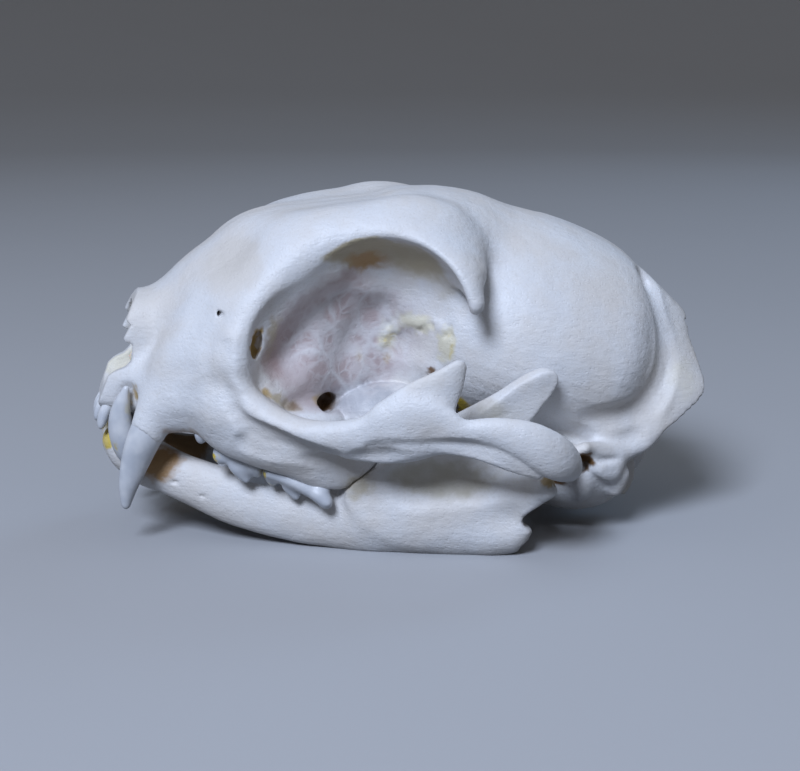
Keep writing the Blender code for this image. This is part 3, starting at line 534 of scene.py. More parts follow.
def nape(clay):
    """The occipital plate, its condyles and the thin crests on top and behind."""
    clay.grow([(0, 73, 15, 18, 11), (0, 78, 14, 16.5, 9.5), (0, 81.5, 13.5, 12, 7.5)], 3, around=40,
              power=2.4)
    clay.add(ball((14, 75, 12.5), (5.4, 6, 7)), 2)
    clay.grow([(15, 76.6, 12.5, 2.8), (14.6, 78.6, 18, 3), (12.8, 79.2, 23, 3), (9.8, 78.6, 27.4, 2.8),
               (6, 77.4, 30, 2.6)], 2.5)
    clay.grow([(5.5, 76.5, 3.6, 2.4), (6.4, 80.4, 4.4, 2.8), (6.6, 82.2, 7.2, 2.4), (6.2, 82, 10, 1.8)],
              1.5)
    clay.grow([(0, 62, 38, 1.2, 0.8), (0, 70, 36.4, 1.2, 1), (0, 77, 33.2, 1.5, 1.3),
               (0, 85, 28.6, 2, 1.6)], 2)
    clay.grow([(0, 80.5, 30.6, 5, 1), (6, 82.2, 30.8, 4.2, 0.8), (11, 82.6, 26.6, 3.6, 0.65),
               (14.6, 83.2, 22.4, 4.3, 0.6), (16.2, 83, 20, 4.9, 0.6), (17.4, 81.6, 16.8, 3.5, 0.6),
               (18, 79.9, 14, 2.7, 0.65), (18.2, 78, 9.5, 1.5, 0.8)], 1.4, side=(0.2, 0.8, -0.55),
              along=60)
    clay.grow([(12.6, 79, 6.4, 1.8, 0.9), (11.6, 80.4, 3, 1.3, 0.7), (11.8, 80.2, 0.4, 0.5, 0.45)], 1.2,
              side=(0.2, 1, 0))
    clay.swell([(21.6, 68.6, 12), (20.4, 71.8, 13.4), (19.6, 75.4, 14.6), (18.8, 78.4, 16.4),
                (17.8, 80.4, 19.8), (16.2, 81, 23.8), (14, 80.6, 27.6), (11.4, 79.4, 30.8),
                (8, 78.4, 33.2)], 2.8, -1.4)
    clay.swell([(13.3, 81, 27), (15.6, 82.2, 24.2), (17.4, 82.5, 21), (18.6, 82, 17.6),
                (19.3, 80.4, 14.1)], 1.4, 0.25)
    dice = random.Random(5)
    crest = [(0.4, 82, 33.9), (2.4, 83.7, 32.6), (6, 85.4, 30.7), (8.6, 86.9, 28.2), (10.6, 87.7, 25.6)]
    for place in smooth_curve(crest, steps=5):
        spot = Vector(place) + Vector([dice.gauss(0, 0.4) for _ in range(3)])
        clay.cut(ball(spot, [0.6 * dice.uniform(0.5, 1.2) for _ in range(3)]), 0.3)
    clay.swell([(20.8, 71.5, 10.6), (20.2, 74.5, 11.4), (19.4, 77.4, 12.6), (18.8, 79.4, 14.6)], 2.8,
               -0.4)
    clay.swell([(20.4, 72.5, 9), (19.8, 75.1, 9.7), (19.4, 77.6, 10.6)], 2.2, -0.8)


def orbit_walls(clay):
    """What shows inside the orbits: the floor lobe, the holes for nerves and the tear duct."""
    clay.grow([(10.2, 24.6, 7.6, 3.4), (8.5, 28, 8.8, 3.4), (6.8, 32, 10.4, 3.3), (6, 38, 12.4, 3.2)], 4)
    clay.add(ball((10.4, 30.6, 5), (5.6, 6, 3), (0, 0, 20)), 2)
    clay.grow([(13.4, 20.6, 15, 2), (12, 22.8, 20, 2.4), (11.4, 26.6, 25.2, 2.5), (11.6, 31, 28.2, 1.8)],
              4)
    clay.grow([(9.2, 29.5, 10, 2.4), (8.6, 30.4, 14.5, 2.3), (8, 31.6, 19.5, 2.2), (8, 33.6, 24, 2),
               (8.8, 36.5, 27, 1.8)], 4)
    clay.add(ball((9.6, 43, 7), (5, 8.6, 4.9), (6, 0, 0)), 0.1)
    clay.cut(ball((10, 32.8, 7.6), (4.2, 1.9, 1.45), (35, 0, 0)), 0.4)
    clay.cut(ball((15.9, 20.6, 15.6), (1.6, 0.8, 2.1), (0, 0, -25)), 0.4)
    clay.cut(ball((16.4, 19.6, 15.2), (1, 2.2, 1.2), (0, 0, -25)), 0.4)
    clay.grow([(13.4, 22.6, 18.4, 0.4), (14.2, 21.9, 15.6, 0.45), (14, 22.4, 12.6, 0.4)], 0.3, along=16)
    clay.carve([(12.6, 47.6, 14.9, 0.7), (7, 49, 15, 0.7)], 0.5)
    clay.carve([(13.4, 50.4, 10, 1), (7, 53, 10, 1)], 0.5)
    rim = [(8.4, 39.8, 17.1), (8.7, 40.8, 19.7), (10, 42.4, 21.1), (12.7, 44.7, 22), (15.3, 47.2, 21.7),
           (16.2, 48.5, 20), (15.6, 48.7, 17.8)]
    clay.swell([(9.6, 41.8, 17.6), (11.8, 44.2, 18.6), (13.6, 46.6, 18)], 3.4, -0.6)
    clay.swell(rim, 1.1, 0.35)
    dice = random.Random(2)
    for place in smooth_curve(rim, steps=5):
        spot = [v + dice.gauss(0, 0.5) for v in place]
        clay.swell([spot, spot], dice.uniform(0.6, 1), dice.choice((-0.4, 0.2)))


def ear_capsule(clay):
    """The swollen ear capsule under the brain case."""
    clay.add(ball((12.2, 69.6, 3.8), (6.2, 9.8, 6.4), (-6, 0, -10)), 1.2)


def openings(clay):
    """Nose, throat, ears, the joints of the jaw and the hole for the spine."""
    clay.cut(ball((20, 28.6, 16.8), (8.6, 9, 9)), 1)
    clay.cut(ball((20.5, 37, 22.6), (9.6, 11.4, 10.8)), 1)
    clay.carve([(0, -5, 9.9, 4.9, 6.1), (0, 1, 9.9, 4.9, 6.1), (0, 5, 10.5, 4.9, 6.1),
                (0, 11, 12.4, 5.6, 6.2), (0, 20, 14.4, 6.4, 6.2)], 0.3, around=40, power=3.2)
    front = [(-14, 22), (6, 22), (5, 19.9), (4.2, 18.6), (3.5, 16.5), (2.9, 14.3), (3.7, 13.9),
             (2.9, 11.5), (4.4, 11.1), (4.6, 8.7), (3.9, 7.6), (2.6, 6.8), (1.7, 5.9), (1.5, 4.6),
             (1.1, 2.4), (0.9, 0.5), (1.4, -2.5), (-14, -2.5)]
    clay.cut(sheet(front, 24), 0.12)
    clay.carve([(0, 36, 4.4, 4.2, 2.6), (0, 46, 4.4, 4.3, 3.2), (0, 55, 3, 4.3, 4)], 1)
    clay.cut(ball((0, 83.5, 8.4), (6.2, 9, 5)), 1)
    clay.carve([(19, 63.6, 4.4, 3.1), (31, 62, 5, 3)], 0.8, side=(0, 1, 0))
    clay.cut(ball((15.6, 15.2, 18.9), (3, 0.4, 0.4), (0, 0, 12)), 0.05)


def cranium(voxel):
    """The whole upper skull as one lump."""
    clay = Clay(SKULL_BOX, voxel)
    for build in (brain_case, forehead, snout, palate, eye_sockets, cheek, temporal_bar, nape,
                  ear_capsule, ear, openings, orbit_walls):
        build(clay)
    return clay


# ---------------------------------------------------------------- jaw

def jaw_blade(y, z):
    """How far out the blade of the jaw stands, leaning out as it rises and in towards the teeth."""
    lean, spread, turn_in = 0.10, 0.05, 0.12
    return 20.8 + lean * (z + 4) + spread * (y - 50) + turn_in * min(0, y - 48)


def jaw(voxel):
    """The left half of the mandible."""
    clay = Clay(JAW_BOX, voxel)
    clay.grow([(2.2, 2.8, -2.6, 1.6, 2.2), (3, 6.4, -5.4, 3, 3), (4, 9.6, -6.4, 3.6, 3.4),
               (6.2, 14, -7.2, 3.4, 2.9), (9.8, 21, -8.2, 4, 2.4), (12.6, 28, -8.4, 4.4, 2.4),
               (15.4, 35, -8, 4.4, 2.4), (18, 42, -7, 4.4, 2.2), (20, 49, -6.2, 3.8, 1.9),
               (21.8, 56, -5.4, 3.2, 1.6), (23.4, 61.8, -4.4, 1.6, 1.2)], 2, side=(0, 0, 1), along=72)
    blade = [(37, -4), (39.5, 0.6), (43.5, 4.4), (48.5, 8), (53.5, 12.8), (57.4, 17), (60.8, 19.4),
             (62.2, 18), (60.4, 13.6), (58.2, 8.4), (58.4, 3.6), (60, -1), (58.4, -6), (46, -8)]
    clay.add(sheet(rounded(blade), 1, jaw_blade), 2, 0.25)
    clay.grow([(19.6, 40.6, 1.4, 0.9), (20.4, 45.4, 6.2, 1.1), (21.2, 50.7, 10.4, 1.1),
               (22, 55.3, 14.2, 1), (22.8, 59, 17.8, 0.9), (23.2, 60.8, 19, 0.7)], 1.4,
              side=(0, 0.5, -0.5), along=48)
    clay.swell([(25, 52.8, 12), (25.6, 56, 14.6), (25.8, 58.6, 16.4)], 1.8, -0.6)
    clay.grow([(21.6, 57.6, 1, 2.4, 1.2), (22.6, 61, 2.8, 2, 1.6)], 1.5, side=(0, 0, 1))
    clay.grow([(17.4, 62.8, 3, 1.3), (21.5, 63, 3.6, 1.8), (25.6, 62.6, 4, 1.4), (28.6, 62.2, 3.8, 0.8)],
              1.2, side=(0, 1, 0))
    clay.grow([(19.2, 43, -3.2, 1), (20.9, 48, -2, 1.2), (22.5, 54, -0.7, 1.2), (24.8, 60, 2.2, 1.1),
               (26.6, 62, 3.4, 0.9)], 1.6, side=(0, 0, 1))
    clay.grow([(16.6, 40, -6, 1.6, 1), (18.9, 44, -4.8, 2.2, 1.2), (20.8, 49, -3.8, 2.8, 1.3),
               (22.4, 55, -3, 3, 1.2), (24, 60, -1.2, 3.2, 1), (25.6, 62, 1.4, 2, 0.8)], 6,
              side=(0, 0.3, 1))
    clay.swell([(24, 45, 0.6), (25.2, 50, 2.4), (26.4, 55, 4), (27.2, 58, 5.4)], 5, -1.5)
    clay.grow([(22.4, 56, -5.6, 2.2, 1.5), (23.6, 62, -4.5, 1.7, 1.2)], 2.5, side=(0, 0, 1))
    notch = [(64.4, 2.3), (62.8, 1.1), (61.4, -0.2), (60.8, -1.6), (61.4, -2.7), (63, -3), (66.5, -2.6),
             (67, 1.6)]
    clay.cut(sheet(rounded(notch), 16, lambda y, z: 25), 0.8)
    clay.add(ball((27.2, 63, 3), (1.6, 1.5, 0.8), (25, 0, 0)), 0.8)
    for place, radii in (((9.3, 13.5, -7.7), (0.9, 0.5, 0.28)), ((11.1, 17.6, -8.7), (0.9, 0.4, 0.25))):
        clay.cut(ball(place, radii, (20, 0, 30)), 0.3)
    dice = random.Random(8)
    for place in smooth_curve([(24.6, 63.1, -3.2), (24.4, 63, -4.6), (24, 62, -6.2)], steps=5):
        spot = [v + dice.gauss(0, 0.4) for v in place]
        clay.cut(ball(spot, [dice.uniform(0.5, 0.9)] * 3), 0.2)
    clay.face_off(0.1)
    return clay


# ---------------------------------------------------------------- teeth

def upper_canine():
    """The long upper canine, from its root to the tip."""
    return limb([(9.6, 11.5, 8, 1.9, 1.4), (10.4, 9.2, 2.5, 2.5, 1.9), (10.8, 8.1, -0.6, 2.5, 1.9),
                 (10.5, 7.3, -4, 2.2, 1.6), (10.3, 6.85, -7.9, 1.55, 1.2), (10.1, 6.85, -10.6, 0.95, 0.8),
                 (10, 7, -12.2, 0.5, 0.5)], side=(0, 1, 0))


def lower_canine():
    """The lower canine that stands in front of the upper one."""
    return limb([(5.8, 8.6, -7, 1.7, 1.4), (6.6, 5.6, -3.4, 2, 1.6), (7.4, 4.2, 0.8, 1.6, 1.3),
                 (8.1, 4.4, 5.4, 0.35, 0.35)], side=(0, 1, 0))


def incisor(x, y, top, tip, size):
    """A small front tooth between its root and its edge."""
    down = tip - top
    return limb([(x, y + 0.9, top, size * 0.8, size * 0.9), (x, y + 0.2, top + down * 0.5, size, size),
                 (x, y, top + down * 0.8, size, size * 0.8), (x, y, tip, size * 0.6, size * 0.4)],
                **SMALL)


def blade_tooth(clay, band, cusps, thick):
    """A blade tooth: a swollen band along the gum and cusps that stand on it."""
    clay.grow([(*p, high, thick) for p, high in band], 0.4, side=(0, 0.2, 1), along=40)
    for foot, tip, reach in cusps:
        foot, tip = Vector(foot), Vector(tip)
        clay.grow([(*foot, reach, thick), (*foot.lerp(tip, 0.55), reach * 0.62, thick * 0.75),
                   (*tip, 0.3, 0.3)], 1, side=(0, 1, 0.2))


def upper_premolar_2(clay):
    """The peg of the second upper premolar."""
    clay.grow([(12, 15.7, 3.4, 0.9), (12.6, 15.7, 1.2, 1.15, 0.9), (12.6, 15.7, 0.2, 0.85, 0.7),
               (12.6, 15.7, -0.5, 0.35)], 0.3, side=(0, 1, 0), **SMALL)


def upper_premolar_3(clay):
    """The third upper premolar, a blade with one cusp and a lobe in front."""
    band = [((13.5, 17.7, -0.3), 1.5), ((14.2, 19.8, -0.6), 1.8), ((15, 22.4, -1.5), 1.6),
            ((15.8, 24.4, -2), 0.9)]
    cusps = [((13.8, 18.6, -1), (14, 18.9, -2.7), 1.4), ((14.7, 21.6, -1.2), (15.1, 23, -4.6), 2.5),
             ((15.5, 23.9, -1.8), (15.7, 24.3, -3.4), 0.9)]
    blade_tooth(clay, band, cusps, 1.1)


def upper_premolar_4(clay):
    """The upper carnassial, a long low blade."""
    band = [((16.5, 24.8, -2.3), 0.8), ((17.2, 27, -2.4), 1), ((17.9, 29, -2.8), 1),
            ((18.6, 31.5, -3.6), 1), ((19.4, 33.8, -4.5), 0.9), ((19.6, 34.7, -5.1), 0.5)]
    cusps = [((16.8, 28.7, -2.6), (17.3, 30.1, -5.6), 2), ((18.6, 32.6, -3), (19.4, 34.2, -5.6), 1.2)]
    blade_tooth(clay, band, cusps, 1.1)
    clay.grow([(16.4, 28.5, 1, 3, 1.4), (17.2, 29.5, -2, 3.6, 1.3)], 1, side=(0, 1, 0))
    clay.grow([(17.6, 33.2, 1, 1.6, 1.4), (18.6, 33, -3.4, 1.4, 1)], 1, side=(0, 1, 0))
    clay.grow([(14.9, 26, -1, 1.3), (15.8, 26.3, -3, 1.1), (16.1, 26.4, -4.3, 0.45)], 1)


def lower_premolar_3(clay):
    """The first lower premolar."""
    band = [((7.6, 17.8, -6.4), 1.2), ((8.6, 19.8, -6.2), 1.4), ((9.8, 22.2, -6.2), 1.2)]
    cusps = [((8, 18.1, -6), (8.1, 18.1, -5.2), 0.7), ((8.7, 19.8, -5.8), (8.8, 20, -3), 1.3),
             ((9.8, 21.6, -5.8), (9.9, 21.7, -4.8), 0.7)]
    blade_tooth(clay, band, cusps, 0.8)


def lower_premolar_4(clay):
    """The second lower premolar."""
    band = [((11.1, 23, -5), 1.6), ((12.2, 26, -4.8), 2), ((13.2, 29, -4.9), 1.7)]
    cusps = [((11.3, 23.6, -4.4), (11.4, 23.6, -2.9), 1), ((12.1, 25.8, -4.4), (12.2, 26, -0.2), 1.9),
             ((13, 28.4, -4.4), (13.1, 28.5, -2.4), 1)]
    blade_tooth(clay, band, cusps, 1.1)


def lower_molar(clay):
    """The lower carnassial with its two blades."""
    band = [((13.5, 29.8, -4.9), 1.7), ((14.4, 33.2, -4.8), 2), ((15.2, 36.4, -4.6), 1.6)]
    cusps = [((13.8, 31.4, -4.4), (13.9, 31.2, -0.4), 1.9), ((14.8, 35, -4.4), (14.9, 35.4, 0), 1.9)]
    blade_tooth(clay, band, cusps, 1.1)


def nose_scrolls(clay):
    """Thin bone rolled up like paper inside one half of the nose."""
    for (x, y, z), radii in (((2.9, 12, 7.8), (1.9, 7.5, 2.3)), ((3, 13, 12.4), (1.9, 8, 2.2)),
                             ((2.2, 13.5, 16), (1.5, 7.5, 1.4))):
        for turn, inset in enumerate((0, 0.4, 0.9, 1.3)):
            shell = ball((x, y, z), [r - inset for r in radii])
            (clay.cut if turn % 2 else clay.add)(shell, 0.1)
        clay.carve([(x - 1.6, 2, z - 1.3, 0.8), (x - 1.4, 12, z - 1.2, 0.7)], 0.1, around=16, along=16)
    clay.add(sheet([(7.5, 5), (5.5, 9), (6.5, 17), (22, 19), (22, 5)], 0.45, lambda y, z: 4.7), 0.3)


def nose_septum(clay):
    """The thin wall between the two halves of the nose."""
    clay.add(sheet([(8, 3.5), (7, 8), (8.5, 13), (7.5, 17.5), (23, 21), (23, 3.5)], 0.6,
                   lambda y, z: 0.1 * math.sin(y) * math.sin(z / 2)), 0.3)


# ---------------------------------------------------------------- pieces

def set_down(points):
    """Points of the skull frame in metres, the skull pitched and set on the floor."""
    turned = np.array(Matrix.Rotation(-PITCH, 3, "X"))
    return (np.array(points, dtype=float) @ turned.T - (0, MIDDLE, REST)) * MM


def store(mesh, name, values):
    """Keeps a value for each point of a mesh, for its material."""
    layer = mesh.attributes.new(name, "FLOAT", "POINT")
    layer.data.foreach_set("value", np.array(values, dtype=np.float32))


def add_piece(name, points, faces, material, slot, nodes=()):
    """Makes a finished piece of the skull from a skin of the skull frame."""
    mesh = bpy.data.meshes.new(name)
    places = set_down(points)
    places[:, 2] = np.maximum(places[:, 2], 0)
    mesh.from_pydata(places.tolist(), [], faces)
    piece = bpy.data.objects.new(name, mesh)
    bpy.context.scene.collection.objects.link(piece)
    triangles = sum(len(f) - 2 for f in faces)
    if triangles > PIECE_TRIANGLES:
        thin = piece.modifiers.new("Thin", "DECIMATE")
        thin.ratio = PIECE_TRIANGLES / triangles
        graph = bpy.context.evaluated_depsgraph_get()
        piece.data = bpy.data.meshes.new_from_object(piece.evaluated_get(graph))
        piece.modifiers.clear()
        bpy.data.meshes.remove(mesh)
        piece.data.name = name
    piece.data.shade_smooth()
    piece.data.materials.append(material)
    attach(piece, "root")
    if nodes:
        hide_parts(*nodes)
    return piece


def skull_points(mesh):
    """The points and normals of a piece in the skull frame."""
    points = np.zeros(len(mesh.vertices) * 3)
    mesh.vertices.foreach_get("co", points)
    normals = np.zeros(len(mesh.vertices) * 3)
    mesh.vertices.foreach_get("normal", normals)
    turned = np.array(Matrix.Rotation(-PITCH, 3, "X"))
    return (points.reshape(-1, 3) / MM + (0, MIDDLE, REST)) @ turned, normals.reshape(-1, 3) @ turned


def stain_and_shade(piece, patches):
    """Stores the colour of a piece's stains and painted shade and how strong each is, for its material."""
    look = bpy.context.scene.skull_look
    points, normals = skull_points(piece.data)
    coarse, fine, fine_share, sharp = 0.9, 2.7, 0.4, 3
    stray = np.array([noise.noise_vector(Vector(p) * coarse)
                      + noise.noise_vector(Vector(p) * fine) * fine_share for p in points])
    sides = np.where(points[:, :1] < 0, -1, 1) * (1, 0, 0) + (0, 1, 1)
    where, faced = points * sides + stray * STAIN_AND_SHADE_WANDER, normals * sides
    colour, cover = np.ones((len(points), 3)), np.zeros(len(points))
    for name, place, size, share, edge, *facing in patches:
        away = np.linalg.norm((where - place) / size, axis=1)
        mask = np.clip((FADE_END - away) / edge, 0, 1)
        mask = mask * mask * (3 - 2 * mask) * share
        if facing:
            mask = mask * np.clip(faced @ np.array(facing[0], dtype=float) * sharp, 0, 1)
        total = mask + cover * (1 - mask)
        part = (mask / np.maximum(total, 1e-6))[:, None]
        mixed = colour * (1 - part) + np.array(getattr(look, name)) * part
        colour = np.where(total[:, None] > 0, mixed, colour)
        cover = total
    layer = piece.data.attributes.new("stain_and_shade", "FLOAT_COLOR", "POINT")
    layer.data.foreach_set("color", np.column_stack([colour, cover]).astype(np.float32).ravel())


def mark_bone(piece, clay):
    """Stores how hollow and how thin the bone is, for the painted shade in its hollows and for its glow, and
    stores its stains and patches of painted shade.
    """
    points, normals = skull_points(piece.data)
    store(piece.data, "pit", clay.read(clay.fullness(PIT_REACH), points))
    store(piece.data, "hollow", clay.read(clay.fullness(HOLLOW_REACH), points))
    through = clay.read(clay.cells, points - normals * GLOW_DEPTH)
    store(piece.data, "thin", np.clip((through - THICK) / (SHEER - THICK), 0, 1))
    away = np.linalg.norm((to_left(points) - NET_CENTRE) / NET_REACH, axis=1)
    store(piece.data, "net", np.clip((FADE_END - away) / NET_EDGE, 0, 1))
    stain_and_shade(piece, BONE_PATCHES)


def weather(points, amount, size, seed):
    """Moves points a little, so that the two sides and no two stretches are alike."""
    shift = seed * Vector((17.0, 5.0, 11.0))
    moved = [Vector(p) + noise.noise_vector(Vector(p) / size + shift) * amount for p in points]
    return np.array(moved)


def form_skin(form):
    """Points and faces of a form."""
    form.verts.index_update()
    return np.array([v.co for v in form.verts]), [[v.index for v in f.verts] for f in form.faces]


def both_sides(points, faces):
    """The skins of a left piece and of its mirror image."""
    points = np.array(points)
    return (("left", points, faces), ("right", points * (-1, 1, 1), [f[::-1] for f in faces]))


# ---------------------------------------------------------------- finishes

def new_node(tree, kind, inputs=None, **settings):
    """A shader node with its inputs, each a value or a linked socket, and its settings."""
    node = tree.nodes.new("ShaderNode" + kind)
    for name, value in settings.items():
        setattr(node, name, value)
    for name, value in (inputs or {}).items():
        if isinstance(value, bpy.types.NodeSocket):
            tree.links.new(value, node.inputs[name])
        else:
            node.inputs[name].default_value = value
    return node


def calc(tree, operation, a, b=0.0, c=0.0):
    """The result of a math node."""
    return new_node(tree, "Math", {0: a, 1: b, 2: c}, operation=operation).outputs[0]


def ramp(tree, value, low, high, out_low=0.0, out_high=1.0):
    """A value moved smoothly from one range to another."""
    return new_node(tree, "MapRange", {"Value": value, "From Min": low, "From Max": high, "To Min": out_low,
                                       "To Max": out_high}, interpolation_type="SMOOTHSTEP").outputs["Result"]


def tint(tree, share, base, colour):
    """A colour laid over another by a share."""
    return new_node(tree, "Mix", {0: share, 6: base, 7: colour}, data_type="RGBA").outputs[2]


def attribute(tree, name):
    """The value that a piece stores for each of its points."""
    return new_node(tree, "Attribute", attribute_name=name).outputs["Fac"]


def new_group(name, inputs, outputs):
    """An empty node group with named sockets, and its input and output nodes."""
    tree = bpy.data.node_groups.new(name, "ShaderNodeTree")
    for direction, sockets in (("INPUT", inputs), ("OUTPUT", outputs)):
        for label, kind, *value in sockets:
            socket = tree.interface.new_socket(label, in_out=direction, socket_type="NodeSocket" + kind)
            if value:
                socket.default_value = value[0]
    return tree, tree.nodes.new("NodeGroupInput").outputs, tree.nodes.new("NodeGroupOutput").inputs


def use_group(tree, group, **inputs):
    """A node group placed in a material with its own values."""
    node = tree.nodes.new("ShaderNodeGroup")
    node.node_tree = group
    for name, value in inputs.items():
        socket = node.inputs[name.replace("_", " ")]
        if isinstance(value, bpy.types.NodeSocket):
            tree.links.new(value, socket)
        else:
            socket.default_value = value
    return node.outputs


def net_group():
    """A net of fine pale strands with darker windows between them."""
    tree, given, wanted = new_group("Net", [("Scale", "Float", 230.0)], [("Strand", "Float")])
    where = new_node(tree, "TexCoord").outputs["Object"]
    bend = new_node(tree, "TexNoise", {"Vector": where, "Scale": 200.0, "Detail": 3.0})
    moved = new_node(tree, "VectorMath", {0: bend.outputs["Color"], "Scale": 0.006}, operation="SCALE")
    bent = new_node(tree, "VectorMath", {0: where, 1: moved.outputs[0]}, operation="ADD").outputs[0]
    strands = 0.0
    for factor, width, share in ((1.0, 0.26, 0.62), (2.3, 0.24, 0.4)):
        scale = calc(tree, "MULTIPLY", given["Scale"], factor)
        cells = new_node(tree, "TexVoronoi", {"Vector": bent, "Scale": scale}, feature="DISTANCE_TO_EDGE")
        line = ramp(tree, cells.outputs["Distance"], 0.0, width, share, 0.0)
        strands = calc(tree, "MAXIMUM", strands, line)
    tree.links.new(strands, wanted["Strand"])
    return tree


def stains_and_shade_group():
    """A piece's stored stains and painted shade laid over a colour, with edges that a value makes ragged."""
    tree, given, wanted = new_group("Stains", [("Colour", "Color"), ("Ragged", "Float")],
                                    [("Colour", "Color")])
    stored = new_node(tree, "Attribute", attribute_name="stain_and_shade").outputs
    torn = calc(tree, "MULTIPLY_ADD", calc(tree, "SUBTRACT", given["Ragged"], 0.5), 0.5, stored["Alpha"])
    share = calc(tree, "MULTIPLY", ramp(tree, torn, 0.02, 0.95), ramp(tree, stored["Alpha"], 0.0, 0.1))
    tree.links.new(tint(tree, share, given["Colour"], stored["Color"]), wanted["Colour"])
    return tree


def grain_group():
    """The grain of bone: soft clouds, fine fibres along the skull and pores."""
    tree, given, wanted = new_group("Grain", [("Clouds", "Float", 90.0), ("Fibres", "Float", 1.0)],
                                    [(n, "Float") for n in ("Cloud", "Lump", "Speckle", "Height")])
    where = new_node(tree, "TexCoord").outputs["Object"]
    cloud = new_node(tree, "TexNoise", {"Vector": where, "Scale": given["Clouds"], "Detail": 3.0,
                                        "Roughness": 0.6})
    drawn = new_node(tree, "Mapping", {"Vector": where, "Scale": (1.0, 0.32, 1.0)}).outputs[0]
    fibre = new_node(tree, "TexNoise", {"Vector": drawn, "Scale": 1400.0, "Detail": 5.0, "Roughness": 0.7})
    pores = new_node(tree, "TexVoronoi", {"Vector": where, "Scale": 1500.0})
    pits = ramp(tree, pores.outputs["Distance"], 0.0, 0.35)
    speckle = new_node(tree, "TexNoise", {"Vector": where, "Scale": 3200.0, "Detail": 2.0})
    lumps = new_node(tree, "TexNoise", {"Vector": where, "Scale": 420.0, "Detail": 3.0})
    height = calc(tree, "ADD", calc(tree, "MULTIPLY", fibre.outputs["Fac"], given["Fibres"]),
                  calc(tree, "MULTIPLY_ADD", lumps.outputs["Fac"], 1.2, calc(tree, "MULTIPLY", pits, 0.25)))
    for name, texture in (("Cloud", cloud), ("Lump", lumps), ("Speckle", speckle)):
        tree.links.new(texture.outputs["Fac"], wanted[name])
    tree.links.new(height, wanted["Height"])
    return tree


def shader_of(material):
    """The tree and the Principled shader of a new material."""
    material.use_nodes = True
    tree = material.node_tree
    return tree, tree.nodes["Principled BSDF"]


def roughen(tree, shader, strength, height):
    """Gives a finish its fine relief."""
    bump = new_node(tree, "Bump", {"Strength": strength, "Distance": 0.3 * MM, "Height": height})
    tree.links.new(bump.outputs[0], shader.inputs["Normal"])


def bone_material(look, groups):
    """Clean dry bone: cool white, warm where it is thin, with painted shade in its hollows and pits."""
    material = bpy.data.materials.new("skull_bone")
    tree, shader = shader_of(material)
    grain = use_group(tree, groups["Grain"])
    colour = tint(tree, ramp(tree, grain["Cloud"], 0.35, 0.7), (*look.bone, 1), (*look.warm, 1))
    # The hollow and pit rows are painted shade, tan in broad hollows and dark brown in creases and pits; the
    # speckle row is grain and the thin row is the glow of thin bone.
    for value, low, high, most, over in ((grain["Speckle"], 0.5, 0.75, 0.3, look.thin),
                                         (attribute(tree, "hollow"), 0.66, 0.92, 0.4, look.tan),
                                         (attribute(tree, "pit"), 0.7, 0.95, 0.6, look.umber),
                                         (attribute(tree, "thin"), 0.2, 1.0, 0.3, look.thin)):
        colour = tint(tree, ramp(tree, value, low, high, 0.0, most), colour, (*over, 1))
    colour = use_group(tree, groups["Stains"], Colour=colour, Ragged=grain["Lump"])["Colour"]
    strand = calc(tree, "MULTIPLY", use_group(tree, groups["Net"])["Strand"], attribute(tree, "net"))
    colour = tint(tree, strand, colour, (*look.bone, 1))
    tree.links.new(colour, shader.inputs["Base Color"])
    roughen(tree, shader, 0.45, calc(tree, "MULTIPLY_ADD", strand, 0.6, grain["Height"]))
    tree.links.new(ramp(tree, grain["Cloud"], 0.3, 0.7, 0.40, 0.55), shader.inputs["Roughness"])
    return material


def enamel_material(look, groups):
    """Tooth enamel: smooth, bluish and a little glassy."""
    material = bpy.data.materials.new("skull_enamel")
    tree, shader = shader_of(material)
    grain = use_group(tree, groups["Grain"], Clouds=160.0, Fibres=0.2)
    colour = tint(tree, ramp(tree, grain["Cloud"], 0.35, 0.7), (*look.enamel, 1), (*look.bone, 1))
    colour = use_group(tree, groups["Stains"], Colour=colour, Ragged=grain["Lump"])["Colour"]
    tree.links.new(colour, shader.inputs["Base Color"])
    roughen(tree, shader, 0.12, grain["Height"])
    shader.inputs["Roughness"].default_value = 0.3
    return material


def scroll_material(look, groups):
    """The paper-thin creamy bone inside the nose."""
    material = bpy.data.materials.new("scroll_bone")
    tree, shader = shader_of(material)
    grain = use_group(tree, groups["Grain"], Clouds=260.0, Fibres=0.6)
    colour = tint(tree, ramp(tree, grain["Cloud"], 0.3, 0.7), (*look.cream, 1), (*look.tan, 1))
    tree.links.new(colour, shader.inputs["Base Color"])
    roughen(tree, shader, 0.3, grain["Height"])
    shader.inputs["Roughness"].default_value = 0.6
    shader.inputs["Subsurface Weight"].default_value = 0.3
    shader.inputs["Subsurface Scale"].default_value = 0.001
    return material


def floor_material(look):
    """Plain pale paper of the studio floor, which throws little light back up."""
    material = bpy.data.materials.new("studio_floor")
    tree, shader = shader_of(material)
    where = new_node(tree, "TexCoord").outputs["Object"]
    cloud = new_node(tree, "TexNoise", {"Vector": where, "Scale": 12.0, "Detail": 3.0})
    dull, dim = ((*(share * v for v in look.floor), 1) for share in (FLOOR_CLOUD, FLOOR_BOUNCE))
    colour = tint(tree, cloud.outputs["Fac"], (*look.floor, 1), dull)
    bounce = new_node(tree, "LightPath").outputs["Is Diffuse Ray"]
    tree.links.new(tint(tree, bounce, colour, dim), shader.inputs["Base Color"])
    shader.inputs["Roughness"].default_value = 0.7
    return material


def shared(name, make):
    """A material or node group by name, made if it isn't there yet."""
    found = bpy.data.materials.get(name) or bpy.data.node_groups.get(name)
    return found or make()


def finish_named(name):
    """One of the skull's finishes."""
    look = bpy.context.scene.skull_look
    effects = {"Grain": grain_group, "Net": net_group, "Stains": stains_and_shade_group}
    groups = {effect: shared(effect, make) for effect, make in effects.items()}
    makers = {"skull_bone": bone_material, "skull_enamel": enamel_material, "scroll_bone": scroll_material}
    return shared(name, lambda: makers[name](look, groups))


# ---------------------------------------------------------------- studio

